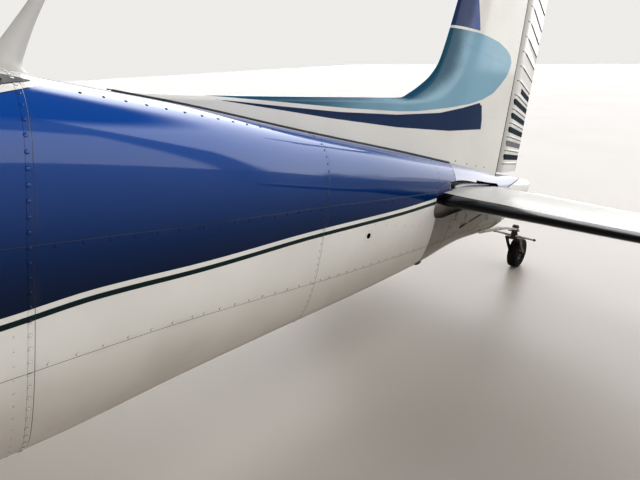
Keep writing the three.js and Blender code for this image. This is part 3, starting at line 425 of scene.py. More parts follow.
def rounded(outline, radius, steps=6):
    """An outline with its corners turned into arcs: each corner is left and met again at a set distance,
    and a quadratic curve runs between."""
    corners = np.asarray(outline, float)
    made = []
    for before, corner, after in zip(np.roll(corners, 1, 0), corners, np.roll(corners, -1, 0)):
        into, out = before - corner, after - corner
        reach = min(radius, 0.45 * np.hypot(*into), 0.45 * np.hypot(*out))
        a, b = corner + into / np.hypot(*into) * reach, corner + out / np.hypot(*out) * reach
        for t in np.linspace(0, 1, steps):
            made.append(a * (1 - t) ** 2 + corner * 2 * t * (1 - t) + b * t ** 2)
    return np.array(made)


def side_prism(outline, low, high):
    """A side view (station, height) carried straight across from one place to another."""
    flat = np.asarray(outline, float)
    rows = [spread(flat[:, 0], y, flat[:, 1]) for y in (low, high)]
    return solid("tool", np.array(rows))


def rivets(centres, outward, radius=4.2, height=2.2):
    """Domed rivet heads: two rings of six points and a crown on each place, leaning along the surface's
    outward direction, with a flat foot sunk a little into the sheet."""
    centres = np.asarray(centres, float)
    outward = np.broadcast_to(np.asarray(outward, float), centres.shape)
    outward = outward / np.linalg.norm(outward, axis=1, keepdims=True)
    side = np.cross(outward, [0.31, 0.93, 0.19])
    side /= np.linalg.norm(side, axis=1, keepdims=True)
    other = np.cross(outward, side)
    turn = circle(6)
    rim = side[:, None] * np.cos(turn)[None, :, None] + other[:, None] * np.sin(turn)[None, :, None]
    foot = centres[:, None] + rim * radius - outward[:, None] * 0.4
    shoulder = centres[:, None] + rim * radius * 0.68 + outward[:, None] * height * 0.7
    crown = (centres + outward * height)[:, None]
    points = np.concatenate([foot, shoulder, crown], 1)
    i = np.arange(6)
    j = (i + 1) % 6
    sides = np.stack([i, j, j + 6, i + 6], -1)
    tops = spread(i + 6, j + 6, 12)
    start = (np.arange(len(centres)) * 13)[:, None, None]
    faces = (sides[None] + start).reshape(-1, 4).tolist() + (tops[None] + start).reshape(-1, 3).tolist()
    return points.reshape(-1, 3), faces + (i[::-1][None, None] + start).reshape(-1, 6).tolist()


def hull_side(stations, heights, table=None):
    """The place across, on the port side, of the skin at each station and height, from the section's own
    formula, and the outward direction there."""
    table = HULL if table is None else table

    def across(s, z):
        top, bottom, half, level, power = smooth(table, s).T
        reach = np.where(z > level, top - level, level - bottom)
        return half * np.clip(1 - np.abs((z - level) / reach) ** power, 0, 1) ** (1 / power)

    s, z = np.asarray(stations, float), np.asarray(heights, float)
    y = across(s, z)
    slope_s = (across(s + 2, z) - across(s - 2, z)) / 4
    slope_z = np.clip((across(s, z + 2) - across(s, z - 2)) / 4, -9, 9)
    return y, spread(-slope_s, 1, -slope_z)


def run_along(points):
    """How far along its path each of the points lies."""
    return np.concatenate([[0], np.cumsum(np.hypot(*np.diff(points, axis=0).T))])


def beside_hull(places, side, lift):
    """Places for (station, height) pairs on one side, lift mm further out across than the skin."""
    s, z = np.asarray(places, float).T
    return spread(s, side * (hull_side(s, z)[0] + lift), z)


def along_line(line, pitch_mm):
    """Evenly spaced places along a line of (station, height) points."""
    points = np.asarray(line, float)
    run = run_along(points)
    at = np.arange(pitch_mm / 2, run[-1], pitch_mm)
    return np.interp(at, run, points[:, 0]), np.interp(at, run, points[:, 1])


def ring_places(station, pitch_mm, shift=0.0, table=None):
    """Places and outward directions evenly spaced round the body at one station."""
    table = HULL if table is None else table
    turn = np.linspace(0, 2 * np.pi, 721)
    across, high = hull_ring(smooth(table, [station]), turn)
    ring = spread(across[0], high[0])
    run = run_along(ring)
    at = (np.arange(int(run[-1] / pitch_mm)) + shift) * run[-1] / int(run[-1] / pitch_mm)
    y, z = np.interp(at, run, ring[:, 0]), np.interp(at, run, ring[:, 1])
    dy = np.interp(at + 1, run, ring[:, 0]) - np.interp(at - 1, run, ring[:, 0])
    dz = np.interp(at + 1, run, ring[:, 1]) - np.interp(at - 1, run, ring[:, 1])
    return spread(station, y, z), spread(0, dz, -dy)


def spots(made):
    """Station, place across and height in mm of every point of a piece."""
    flat = np.empty(len(made.data.vertices) * 3)
    made.data.vertices.foreach_get("co", flat)
    return flying(flat.reshape(-1, 3)).T


def mark(made, **marks):
    """Writes a number on every point of a piece under each name, for its finish to read."""
    for name, values in marks.items():
        made.data.attributes.new(name, "FLOAT", "POINT").data.foreach_set("value", values.astype(np.float32))
    return made


def mark_hull(made):
    """Writes what the hull's enamel follows on each point: its station, and in metres how far it lies
    above the stripe, the two lapped lines and the roof's edge."""
    s, _, z = spots(made)

    def over(line, low, high):
        return (z - smooth(line, np.clip(s, low, high))[:, 0]) / 1000

    return mark(made, station=s / 1000, over_stripe=over(STRIPE, -1010, 5100),
                over_upper_lap=over(UPPER_LINE, 1480, 5052), over_lower_lap=over(LOWER_LINE, 420, 5650),
                over_roof_edge=(z - np.interp(s, *np.array(ROOF_EDGE, float).T)) / 1000)


def skin_depth(section, y, z):
    """How deep places lie under the skin as a share of the section's measure, and the reach used there."""
    top, bottom, half, level, power = section
    reach = np.where(z > level, top - level, level - bottom)
    return 1 - (np.abs(y / half) ** power + np.abs((z - level) / reach) ** power) ** (1 / power), reach


def mark_inside(made):
    """Writes how deep each point lies under the outer skin, and 1 where the surface faces the middle."""
    s, y, z = spots(made)
    normals = np.empty(len(s) * 3)
    made.data.vertices.foreach_get("normal", normals)
    _, out_y, out_z = flying(parked(spread(s, y, z)) + normals.reshape(-1, 3) * 0.001).T
    section = smooth(HULL, s).T
    depth, reach = skin_depth(section, y, z)
    faces_in = ((out_y - y) * y / section[2] ** 2 + (out_z - z) * (z - section[3]) / reach ** 2 < 0) * 1.0
    return mark(made, inside=depth, faces_in=faces_in)


def mark_feet(made):
    """Writes 1 on the foot of each rivet head of 13 points, darkened by dirt and by painted shade round the
    head, and 0 on its dome.
    """
    return mark(made, foot=np.arange(len(made.data.vertices)) % 13 < 6)


BLUE = (0.002, 0.060, 0.275)
# The deep navy that the blue darkens to lower down: painted shade.
SHADED_BLUE = (0.0003, 0.0075, 0.032)
WHITE = (0.67, 0.66, 0.63)
PINSTRIPE = (0.002, 0.014, 0.017)


def nearest(gaps):
    """The least of several distances, as one wire."""
    least, *others = gaps
    for gap in others:
        least = least.least(gap)
    return least


def worn_white(paint, worn, share=1.0, dim=0.93):
    """White enamel, a little darker in worn patches."""
    return paint.mix(worn.rise(0.35, 0.75), tuple(v * share for v in WHITE),
                     tuple(v * share * dim for v in WHITE))


def patchy(name, first, second, patches, span=None, grain=None, **values):
    """A finish that varies in patches (noise scale and detail) between two colours, sharpened over a
    span of the noise, with a fine grain (scale, detail and depth) where one is given."""
    made = Finish(name, **values)
    noise = made.mottle(*patches)
    made.wears(Base_Color=made.mix(noise.rise(*span) if span else noise, first, second))
    if grain:
        made.wears(Normal=made.relief(made.mottle(*grain[:2]), grain[2]))
    return made


def enamel(name, colour_of, rings=(), laps=(), sag=0.0016):
    """Gloss enamel on riveted sheet. colour_of(finish) gives its colour; rings are the stations and laps
    the marked lines where sheets lap, drawn as fine dark joints with a small step. The sheet sags
    softly between frames, which bends what it mirrors."""
    paint = Finish(name, IOR=1.31, Coat_Roughness=0.03)
    station = paint.field("station")
    gaps = [(station - at / 1000).size() for at in rings] + [paint.field(lap).size() for lap in laps]
    dirt = paint.mottle(7.0, 5.0).rise(0.45, 0.8)
    # The feet of rivet heads are darkened: dirt, and painted shade round each head.
    colour = paint.mix(paint.field("foot").rise(0.2, 0.9, 0.0, 0.9), colour_of(paint), (0.02, 0.02, 0.025))
    ripple = paint.mottle(2.6, 1.5) * sag + paint.mottle(900.0, 1.0) * 0.00001
    # Near the tail the sheet lies flatter up to its shoulder, so it mirrors the ground further up
    ripple = ripple + paint.field("over_upper_lap").rise(0.03, 0.15, 0.0, 0.0065) * station.rise(4.15, 4.6)
    if gaps:
        joint = nearest(gaps)
        colour = paint.mix((joint < 0.0009) * 0.75, colour, (0.02, 0.022, 0.03))
        colour = paint.mix(joint.rise(0.0, 0.022, 0.16, 0.0) * dirt, colour, (0.10, 0.10, 0.10))
        ripple = ripple + joint.rise(0.0, 0.0016, -0.0006, 0.0)
    coat = paint.field("over_upper_lap").rise(-0.06, 0.16, 0.04, 0.55) * station.rise(5.045, 5.06, 1.0, 0.25)
    paint.wears(Base_Color=colour, Roughness=paint.mottle(5.0, 4.0).rise(0.3, 0.8, 0.05, 0.12),
                Coat_Weight=coat, Normal=paint.relief(ripple, 1.0))
    return paint


def blue_with_painted_shade(paint):
    """Blue enamel, darkened towards the stripe to a deep navy: painted shade."""
    return paint.mix(paint.field("over_upper_lap").rise(-0.20, 0.34), SHADED_BLUE, BLUE)


def hull_colour(paint):
    over = paint.field("over_stripe")
    roof = paint.field("over_roof_edge")
    worn = paint.mottle(3.0, 4.0)
    white = worn_white(paint, worn)
    # Below the stripe the white darkens towards the belly to a warm grey: painted shade.
    painted_shade = over.rise(-0.42, -0.05, 0.62, 0.0) * worn.rise(0.25, 0.75, 0.8, 1.0)
    colour = paint.mix(over > 0.0175, paint.mix(painted_shade, white, (0.34, 0.29, 0.24)), blue_with_painted_shade(paint))
    colour = paint.mix((over > -0.017) * (over < 0.0), colour, PINSTRIPE)
    colour = paint.mix(roof > -0.002, colour, (0.01, 0.012, 0.02))
    return paint.mix(roof > 0.0, colour, white)


def soot_and_painted_light(paint):
    """The hull's colours, with painted shadow of the tailplane and a film of soot behind the last lower
    frame, and a pale deck at the spar that is painted reflection turning to painted shade towards the fin.
    """
    aft = paint.field("station")
    below = paint.field("over_stripe").rise(-0.06, -0.017, 1.0, 0.0)
    behind_spar = (aft > 5.42) * (paint.field("over_stripe") > 0.02)
    # The deck behind the last upper frame and behind the spar is pale lavender: painted reflection, turning
    # darker towards the fin's foot as painted shade.
    deck = (aft > 5.056) * (paint.field("over_upper_lap") > 0.012).most(behind_spar)
    deck_reflection = paint.mix(paint.field("over_upper_lap").rise(0.05, 0.135), (0.43, 0.44, 0.54), (0.20, 0.20, 0.28))
    colour = paint.mix(deck, hull_colour(paint), deck_reflection)
    # Behind the last lower frame, below the stripe: painted shadow of the tailplane, mixed with a film of
    # soot.
    painted_shade = aft.rise(4.880, 4.890) * below * paint.mottle(4.0, 4.0).rise(0.2, 0.8, 0.82, 0.97)
    colour = paint.mix(painted_shade, colour, (0.175, 0.155, 0.125))
    streaks = paint.mottle(14.0, 5.0).rise(0.56, 0.70) * below * aft.rise(4.880, 4.95, 0.0, 0.6)
    return paint.mix(streaks, colour, (0.07, 0.06, 0.05))


def cone_colour(paint):
    # Inside the skin, and where faces look inward, the bay is painted near black: painted shade.
    within = paint.field("inside").rise(0.010, 0.016).most(paint.field("faces_in") > 0.5)
    return paint.mix(within, soot_and_painted_light(paint), (0.006, 0.007, 0.009))


hull_paint = enamel("hull_enamel", cone_colour, HULL_RINGS, ("over_upper_lap", "over_lower_lap"))

# Tail cone: from the frame behind the rear windows to the slanting joint of the tail cap
TAIL_SLOT = [(4852, 300), (4872, 262), (4950, 256), (5085, 280), (5190, 294), (5440, 334),
             (5606, 356), (5606, 440), (5440, 450), (5270, 466), (5085, 464), (4950, 452), (4872, 420)]
CAP_JOINT = [(5905, 0), (5700, 300), (5762, 420), (5960, 470), (5985, 700), (6500, 700), (6500, 0)]
cone_rows = np.concatenate([np.arange(2873.3, 5880, 15), np.arange(5880, 6141, 6.5)])
tailcone = solid("tail_cone_skin", hull_grid(HULL, cone_rows, 168))
bay = solid("bay", hull_grid(HULL, np.linspace(4730, 5650, 60), 120, -5))
PORT_HOLE = (4338, 203, 14)
hole_round = circle(24)
hole_rim = spread(PORT_HOLE[0] + PORT_HOLE[2] * np.cos(hole_round),
                  PORT_HOLE[1] + PORT_HOLE[2] * np.sin(hole_round))
cut(tailcone, bay, side_prism(rounded(TAIL_SLOT, 30, 4), -400, 400),
    side_prism(CAP_JOINT, -400, 400), side_prism(hole_rim, 150, 400))
finished(mark_inside(mark_hull(tailcone)), hull_paint, replaces=["tailcone"])


# Fin and dorsal fillet: riveted sheet on ribs, one thin blade along the tail cone's back that thickens and
# turns up into the fin. Teal sweep, white line and navy wedge are painted on; a black seal runs along its
# foot. Leading edge: station and height
FIN_LEAD = [(3186, 721), (3302, 727), (3654, 758), (3995, 794), (4352, 833),
            (4560, 855), (4650, 870), (4712, 900), (4782, 945), (4850, 1000),
            (4906, 1080), (4938, 1190), (4981, 1400), (5053, 1760), (5090, 1890), (5140, 1940)]
# For each point of the leading edge: where its row of the skin ends, and how far the rounding of the nose
# reaches
FIN_FOOT = [(3192, 708, 12), (3310, 695, 16), (3680, 660, 20), (4060, 622, 22),
            (4470, 590, 26), (4740, 560, 34), (4950, 540, 48), (5130, 520, 80),
            (5370, 490, 125), (5606, 460, 180), (5606, 800, 225),
            (5606, 1040, 245), (5606, 1330, 250), (5606, 1740, 220), (5606, 1890, 190), (5606, 1940, 170)]
FIN_HALF = [[500, 46], [945, 47], [1400, 41], [1760, 35], [1940, 26]]
TEAL_SWEEP = [(3280, 727), (3439, 741), (3643, 750), (3879, 759), (4272, 773), (4620, 793),
              (4753, 808), (5003, 852), (5180, 890), (5302, 928), (5400, 975), (5458, 1027), (5515, 1090),
              (5542, 1160), (5520, 1200), (5473, 1229), (5373, 1256), (5270, 1265), (5170, 1268),
              (5020, 1261), (4898, 1254), (4700, 1240), (4600, 980), (4000, 900), (3280, 800)]
NAVY_WEDGE = [(3560, 736), (3881, 742), (4219, 751), (4602, 775), (4923, 816),
              (5120, 862), (5298, 912), (5349, 761), (5031, 728), (4617, 714), (4185, 718), (3883, 727)]
UPPER_BLUE = [(4700, 1255), (4897, 1267), (5020, 1275), (5167, 1280),
              (5117, 1425), (5036, 1655), (4700, 1655)]


def inside(outline, places):
    """Signed distance in metres from a closed outline of (station, height): positive inside it."""
    corners = np.asarray(outline, float)
    ends = np.roll(corners, -1, 0)
    best = np.full(len(places), 1e9)
    within = np.zeros(len(places), bool)
    for a, b in zip(corners, ends):
        edge = b - a
        t = np.clip(((places - a) @ edge) / (edge @ edge), 0, 1)
        best = np.minimum(best, np.hypot(*(places - a - t[:, None] * edge).T))
        crosses = (a[1] > places[:, 1]) != (b[1] > places[:, 1])
        with np.errstate(divide="ignore", invalid="ignore"):
            reach = a[0] + (places[:, 1] - a[1]) / (b[1] - a[1]) * (b[0] - a[0])
        within ^= crosses & (places[:, 0] < reach)
    return np.where(within, best, -best) / 1000


def fin_half(station, height):
    """Half thickness of the blade away from its nose: 20 mm along the fillet, growing over 600 mm to the
    fin's."""
    share = np.clip((station - 4400) / 600, 0, 1)
    return 20 + (smooth(FIN_HALF, height)[..., 0] - 20) * share ** 2 * (3 - 2 * share)


lead = np.array(FIN_LEAD, float)
run = run_along(lead)
rows = np.unique(np.concatenate([np.arange(0, run[-1], 16), [run[-1]]]))
nose = smooth(np.column_stack([run, lead]), rows)
foot = smooth(np.column_stack([run, FIN_FOOT]), rows)
share = np.linspace(0, 1, 40) ** 1.9
across_rows = nose[:, None] + (foot[:, None, :2] - nose[:, None]) * share[None, :, None]
depth = np.hypot(*np.moveaxis(across_rows - nose[:, None], -1, 0))
# The section's nose is a quarter ellipse: half = full * sqrt(1 - (1 - depth / reach) ** 2)
bulge = np.sqrt(np.clip(1 - (1 - np.minimum(1, depth / foot[:, None, 2])) ** 2, 0, 1))
half = fin_half(across_rows[..., 0].ravel(), across_rows[..., 1].ravel()).reshape(bulge.shape) * bulge
port = spread(across_rows[..., 0], half, across_rows[..., 1])
starboard = port * [1, -1, 1]
fin_skin = solid("fin_skin", np.concatenate([port[:, ::-1], starboard[:, 1:]], 1))


def mark_fin(made):
    """Writes on each point how far in metres it lies inside each painted shape, and its station and
    height."""
    s, _, z = spots(made)
    side = spread(s, z)
    from_lead = (s - np.interp(z, lead[:, 1], lead[:, 0])) / 1000
    return mark(made, station=s / 1000, height=z / 1000, from_lead=from_lead,
                in_teal=inside(TEAL_SWEEP, side), in_wedge=inside(NAVY_WEDGE, side),
                in_blue=inside(UPPER_BLUE, side))


def fin_colour(paint):
    worn = paint.mottle(3.0, 4.0)
    white = worn_white(paint, worn, dim=0.94)
    # The teal and the upper blue are darker close to the leading edge and along the fillet's front: painted
    # reflection.
    behind = paint.field("from_lead") + paint.mottle(5.0, 4.0) * 0.12
    teal = paint.mix(behind.rise(0.10, 0.24) * paint.field("station").rise(3.9, 4.6),
                     (0.012, 0.085, 0.145), (0.22, 0.38, 0.48))
    teal = paint.mix(worn.rise(0.3, 0.8, 0.0, 0.2), teal, (0.010, 0.060, 0.100))
    colour = paint.mix(paint.field("in_teal") > 0.0, white, teal)
    colour = paint.mix(paint.field("in_wedge") > 0.0, colour, (0.003, 0.022, 0.080))
    deep = paint.mix(behind.rise(0.14, 0.26), (0.007, 0.030, 0.110), (0.10, 0.15, 0.34))
    colour = paint.mix(paint.field("in_blue") > 0.0, colour, deep)
    # A dark strip along the fin's rear edge and a grey rear face: painted shade in the gap before the rudder.
    colour = paint.mix(paint.field("station") > 5.5985, colour, (0.02, 0.02, 0.022))
    return paint.mix(paint.field("station") > 5.6057, colour, (0.16, 0.16, 0.15))


fin_paint = enamel("fin_enamel", fin_colour, sag=0.0012)
finished(mark_fin(fin_skin), fin_paint, replaces=["fin", "dorsal_fin"])

# Rivets of the fin: nose row, two ribs, rear spar, and the flange along its foot
NOSE_ROW = [(4790, 880), (4870, 950), (4950, 1010), (5010, 1090),
            (5045, 1200), (5085, 1400), (5150, 1740), (5185, 1880)]
RIB_LINES = [[(5050, 1193), (5576, 1142)], [(5150, 1560), (5576, 1520)], [(4960, 860), (5576, 830)]]
SPAR_ROW = [(5576, 560), (5576, 1915)]


def fin_rivets(line, pitch_mm):
    """Rivet heads on both sides of the fin along a (station, height) line."""
    s, z = along_line(line, pitch_mm)
    return put_together([rivets(spread(s, side * fin_half(s, z), z), [0, side, 0], 3.0, 1.3)
                         for side in (1, -1)])


heads = [fin_rivets(NOSE_ROW, 34), fin_rivets(SPAR_ROW, 30)] + [fin_rivets(line, 32) for line in RIB_LINES]
finished(mark_feet(mark_fin(joined("fin_rivets", heads, outward=False))), fin_paint)


def bead(path, radius, around=8, flat=1.0):
    """A round cord along a path of places: rings of points square to the path, in its own upright frame."""
    path = np.asarray(path, float)
    along = np.gradient(path, axis=0)
    along /= np.linalg.norm(along, axis=1, keepdims=True)
    side = np.cross(along, [0.0, 0.05, 1.0])
    side /= np.linalg.norm(side, axis=1, keepdims=True)
    up = np.cross(side, along)
    turn = circle(around)
    ring = side[:, None] * np.cos(turn)[None, :, None] + up[:, None] * np.sin(turn)[None, :, None] * flat
    wide = np.broadcast_to(np.asarray(radius, float).reshape(-1, 1, 1), (len(path), 1, 1))
    return weave(path[:, None] + ring * wide)


# Black rubber seal pressed along the fillet's foot, 11 mm thick
rubber = Finish("black_rubber", Base_Color=(0.006, 0.006, 0.007), Roughness=0.42, Specular_IOR_Level=0.4)
rubber.wears(Normal=rubber.relief(rubber.mottle(160.0, 4.0), 0.0002))
seal_s = np.arange(3200, 5100, 20.0)
seal_y = fin_half(seal_s, np.full_like(seal_s, 600)) + 2
top, bottom, half, level, power = smooth(HULL, seal_s).T
seal_z = level + (top - level) * (1 - (seal_y / half) ** power) ** (1 / power)
seals = [bead(spread(seal_s, side * seal_y, seal_z + 2), 5.5) for side in (1, -1)]
finished(joined("fillet_seal", seals), rubber)

# Rudder: beaded sheet on a light spar, hung behind the fin on three hinges and parked turned to starboard.
# Pressed beads stiffen the skin at each bay; the lower bays carry dark bars of paint.
HINGE_STATION = 5680
RUDDER_TURN = math.radians(12.0)
RUDDER_FOOT, RUDDER_TOP = 508, 1995
BEADS = 1002 + 86.6 * np.arange(-5, 12)


def rudder_section(high):
    """Chord behind the hinge line and half thickness at a height, on straight lines from foot to top."""
    share = (high - RUDDER_FOOT) / (RUDDER_TOP - RUDDER_FOOT)
    return 400 - 55 * share, 44 - 18 * share


def beading(at, places, width=8.0, height=5.0):
    """Height of the pressed beads: a rounded ridge of the given half width at each place."""
    gap = np.abs(np.asarray(at, float)[:, None] - np.asarray(places, float)[None]).min(1)
    return height * np.clip(1 - (gap / width) ** 2, 0, 1) ** 1.5


def fan(high, share):
    """How far a bead that leaves the hinge at a height has dropped at a share of the chord: 8.4 per cent
    of what it stands over 540 mm, fading out from 1500 mm to the tip."""
    stands = np.clip(high, 540, 1500) - 540
    return 0.084 * stands * np.clip((1990 - high) / 490, 0, 1) * np.clip(share, 0, 1)


# Rows on the beads and on both edges of each bar of paint below them
rudder_z = np.unique(np.concatenate([np.linspace(RUDDER_FOOT, 1990, 40),
                                     *[b + np.linspace(-9, 9, 11) for b in BEADS],
                                     *[b - np.array([65, 63, 46, 29, 27]) for b in BEADS[1:7]]]))
chord, thick = rudder_section(rudder_z)
back = np.unique(np.concatenate([np.linspace(0, 1, 22), [0.244, 0.256]]))
# Straight-sided wedge from the nose to a 3 mm trailing edge; the beads fade in behind the spar
wedge = thick[:, None] * (1 - back[None]) + 2.5 * back[None]
fade = np.clip((back - 0.06) / 0.08, 0, 1) * np.clip((1.0 - back) / 0.04, 0, 1)
wedge = wedge + beading(rudder_z, BEADS)[:, None] * fade[None]
flank = spread(-chord[:, None] * back, wedge, rudder_z[:, None] - fan(rudder_z[:, None], back))
turn = np.radians(np.linspace(90, -90, 13)[1:-1])
cap = spread(66 * np.cos(turn), thick[:, None] * np.sin(turn), rudder_z[:, None])
rudder_grid = np.concatenate([flank[:, ::-1], cap, flank * [1, -1, 1]], 1)


def swung(places):
    """Rudder places (ahead of the hinge, to port, height) turned about the hinge line to the parked
    angle."""
    ahead, port, high = axes(places)
    ahead, port = swing(ahead, port, RUDDER_TURN)
    return spread(HINGE_STATION - ahead, port, high)


horn_z = np.linspace(1958, 1990, 6)
horn_half = rudder_section(horn_z)[1][:, None]
horn_x = np.array([190, 187, 178, 160, 120, 60, 0, -40])
horn_y = np.array([0.0, 0.22, 0.42, 0.62, 0.85, 0.96, 0.98, 0.85])
horn_ring = np.concatenate([spread(horn_x, horn_y), spread(horn_x, -horn_y)[:0:-1]])
horn = spread(horn_ring[:, 0], horn_half * horn_ring[:, 1], horn_z[:, None])
rudder_skin = joined("rudder_skin", [weave(swung(rudder_grid)), weave(swung(horn))])
BARS = [(0.25 if bead > 1050 else -0.08, 1.1, bead - 64, bead - 28) for bead in BEADS[6:0:-1]]


def mark_rudder(made):
    """Writes on each point its height, its share of the chord behind the hinge and its distance into a
    dark bar."""
    s, y, z = spots(made)
    share = swing(s - HINGE_STATION, y, RUDDER_TURN)[0] / rudder_section(z)[0]
    z = z + fan(z + fan(z, share), share)
    gaps = [np.minimum(np.minimum((share - near) * 400, (far - share) * 400),
                       np.minimum(z - low, high - z)) for near, far, low, high in BARS]
    return mark(made, height=z / 1000, behind=share, in_bar=np.max(gaps, 0) / 1000)


rudder_paint = Finish("rudder_enamel", Coat_Roughness=0.08, IOR=1.16)
height = rudder_paint.field("height")
# Just under each bead a dark line is painted: painted shadow of the bead.
bay = rudder_paint.node("ShaderNodeMath", {0: height - 0.9935, 1: 0.0866}, operation="FLOORED_MODULO")
painted_bead_shadow = (bay < 0.0050) * (rudder_paint.field("behind") > -0.09)
# The rudder's white is toned down to 74 to 84 per cent of the hull's, in patches: painted shade.
grey = rudder_paint.mix(rudder_paint.mottle(4.0, 4.0).rise(0.3, 0.8),
                        tuple(v * 0.84 for v in WHITE), tuple(v * 0.74 for v in WHITE))
in_bar = rudder_paint.field("in_bar") > 0.0
# One bar, from 675 to 720 mm up, is mid grey instead of dark.
mid_grey_bar = (height > 0.675) * (height < 0.72)
grey = rudder_paint.mix(in_bar, grey, rudder_paint.mix(mid_grey_bar, (0.008, 0.018, 0.026), (0.17, 0.17, 0.17)))
rudder_paint.wears(Base_Color=rudder_paint.mix(painted_bead_shadow * 0.9, grey, (0.02, 0.023, 0.03)),
                   Coat_Weight=in_bar * -0.3 + 0.3, Roughness=in_bar * 0.4 + 0.32,
                   Normal=rudder_paint.relief(rudder_paint.mottle(3.0, 2.0), 0.0008))
finished(mark_rudder(rudder_skin), rudder_paint, "rudder", crease=50, replaces=["rudder"])


# Tailplane: one sheet-skinned surface through the tail cone, pivoted at its rear spar and trimmed nose down.
# Both halves ride together; black rubber boots are glued over the leading edges.
TAIL_HINGE = (5550, 400)
TRIM = math.radians(3.87)
# Half span, leading edge ahead of the hinge, trailing edge behind it, half thickness
TAIL_PLAN = [[0, 661, 400, 50], [175, 661, 400, 50], [600, 592, 385, 43],
             [1100, 511, 367, 34.5], [1240, 484, 363, 32], [1340, 450, 360, 30.5],
             [1420, 400, 358, 29], [1480, 350, 356, 28], [1520, 315, 354, 27],
             [1560, 288, 350, 25], [1610, 262, 338, 22], [1645, 232, 318, 16], [1660, 205, 295, 9]]


def tail_thickness(share):
    """Half thickness over the chord: an ellipse to 30 per cent, then a straight taper, joined by a soft
    bend."""
    fore = 1.02 * np.sqrt(np.clip(1 - (1 - np.minimum(share / 0.3, 1)) ** 2, 0, 1))
    aft = 1.02 - np.clip(share - 0.3, 0, None) / 0.7 * 0.97
    bend = 0.03 * np.exp(-((share - 0.3) / 0.09) ** 2)
    return np.minimum(fore, aft) - bend


def trimmed(places, droop=0.0):
    """Tailplane places (ahead of the hinge, to port, above its chord) turned about the hinge line by the
    trim less the elevator's droop, and set at the hinge's station and height."""
    ahead, port, high = axes(places)
    ahead, up = swing(ahead, high, droop - TRIM)
    return spread(TAIL_HINGE[0] - ahead, port, TAIL_HINGE[1] + up)


def nose_radius(lead, trail, half):
    """Half thickness at the hinge line, which the elevator's round nose takes up."""
    return tail_thickness(lead / (lead + trail)) * half


def tail_rows(spans, fore_shares, grow=0.0):
    """Section outlines of the tailplane at the given spans: upper side from rear to nose, then lower
    side back. grow thickens them by a distance, or by a formula of the share of the chord."""
    lead, trail, half = smooth(TAIL_PLAN, np.abs(spans)).T
    share = fore_shares(lead, trail, half)
    high = tail_thickness(share) * half[:, None] + (grow(share) if callable(grow) else grow)
    upper = spread(lead[:, None] - share * (lead + trail)[:, None], np.asarray(spans, float)[:, None], high)
    return np.concatenate([upper[:, ::-1], (upper * [1, 1, -1])[:, 1:]], 1)


def to_rear_spar(lead, trail, half):
    """Chord shares from the nose to 6 mm ahead of the elevator's round nose, closest together at the
    nose."""
    reach = lead - (nose_radius(lead, trail, half) - 1) - 6
    return np.linspace(0, 1, 30) ** 2 * (reach / (lead + trail))[:, None]


spans = np.unique(np.concatenate([np.linspace(-1500, 1500, 101), [-175, 175]]))
tailplane_skin = solid("tailplane_skin", trimmed(tail_rows(spans, to_rear_spar)))
# Root: a notch for the pivot post, and cover plates that ride inside the tail cone's slots
notch = bead([[5440, -15.5, 388], [5440, 15.5, 388]], 62, 24)
post_room = [(5440, 300), (5700, 300), (5700, 500), (5440, 500)]
cut(tailplane_skin, raw_piece("notch", *notch), side_prism(post_room, -15.5, 15.5))
COVER = [(4835, 215), (4835, 456), (5046, 470), (5060, 410), (5190, 422),
         (5440, 426), (5480, 424), (5480, 330), (5190, 252), (5060, 225)]
cover = solid("cover", hull_grid(HULL, np.linspace(4740, 5600, 60), 100, -36))
core = solid("core", hull_grid(HULL, np.linspace(4700, 5640, 60), 100, -40))
cut(cover, core)
carve(cover, "INTERSECT", side_prism(COVER, -300, 300))
carve(tailplane_skin, "UNION", cover)
lugs = []
for y in (-1300, -450, 450, 1300):
    radius = float(nose_radius(*smooth(TAIL_PLAN, [abs(y)])[0]))
    eye_round = circle(16)
    outline = np.array([[10 * math.cos(t), 10 * math.sin(t)] for t in eye_round
                        if math.cos(t) < 0.3] + [[radius + 26, -7], [radius + 26, 7]])
    flat = outline[np.argsort(np.arctan2(outline[:, 1], outline[:, 0] - 12))]
    lugs.append(weave(trimmed([spread(flat[:, 0], y + e, flat[:, 1]) for e in (-4, 4)])))


def mark_tail(made):
    """Writes each point's distance out along the span, and ahead of the hinge line, in metres."""
    s, y, z = spots(made)
    ahead, _ = swing(TAIL_HINGE[0] - s, z - TAIL_HINGE[1], TRIM)
    return mark(made, span=np.abs(y) / 1000, ahead=ahead / 1000)


def plain_white(paint, share=1.0):
    return worn_white(paint, paint.mottle(2.6, 4.0), share)


def duller(paint):
    """The tailplane's white is chalked by weather: rougher than the hull's, and without its clear coat."""
    paint.wears(Roughness=paint.mottle(5.0, 4.0).rise(0.3, 0.8, 0.30, 0.34), Coat_Weight=0.0)
    return paint


tail_paint = duller(enamel("tailplane_enamel", lambda paint: plain_white(paint, 0.98), sag=0.001))


def root_colour(paint):
    """White, but the cover plates in the slots wear the hull's own colours, and what lies inside is
    unlit."""
    behind = paint.field("inside")
    low = paint.field("over_stripe") < -0.045
    plate = (paint.field("station") < 5.052).most(low) * (paint.field("span") < 0.128) * (behind < 0.33)
    hull = paint.mix((paint.field("over_stripe") > 0.0175) * 0.8, soot_and_painted_light(paint), (0.02, 0.035, 0.16))
    colour = paint.mix(plate, plain_white(paint, 0.98), hull)
    unlit = (behind > 0.33).most(paint.field("station") > 5.054) * (1 - low) * (paint.field("span") < 0.112)
    rim = (paint.field("faces_in") > 0.5).most(paint.field("over_upper_lap") > 0.03)
    unlit = unlit.most(rim * (behind > 0.16) * (paint.field("span") < 0.15))
    return paint.mix(unlit, colour, (0.006, 0.007, 0.009))


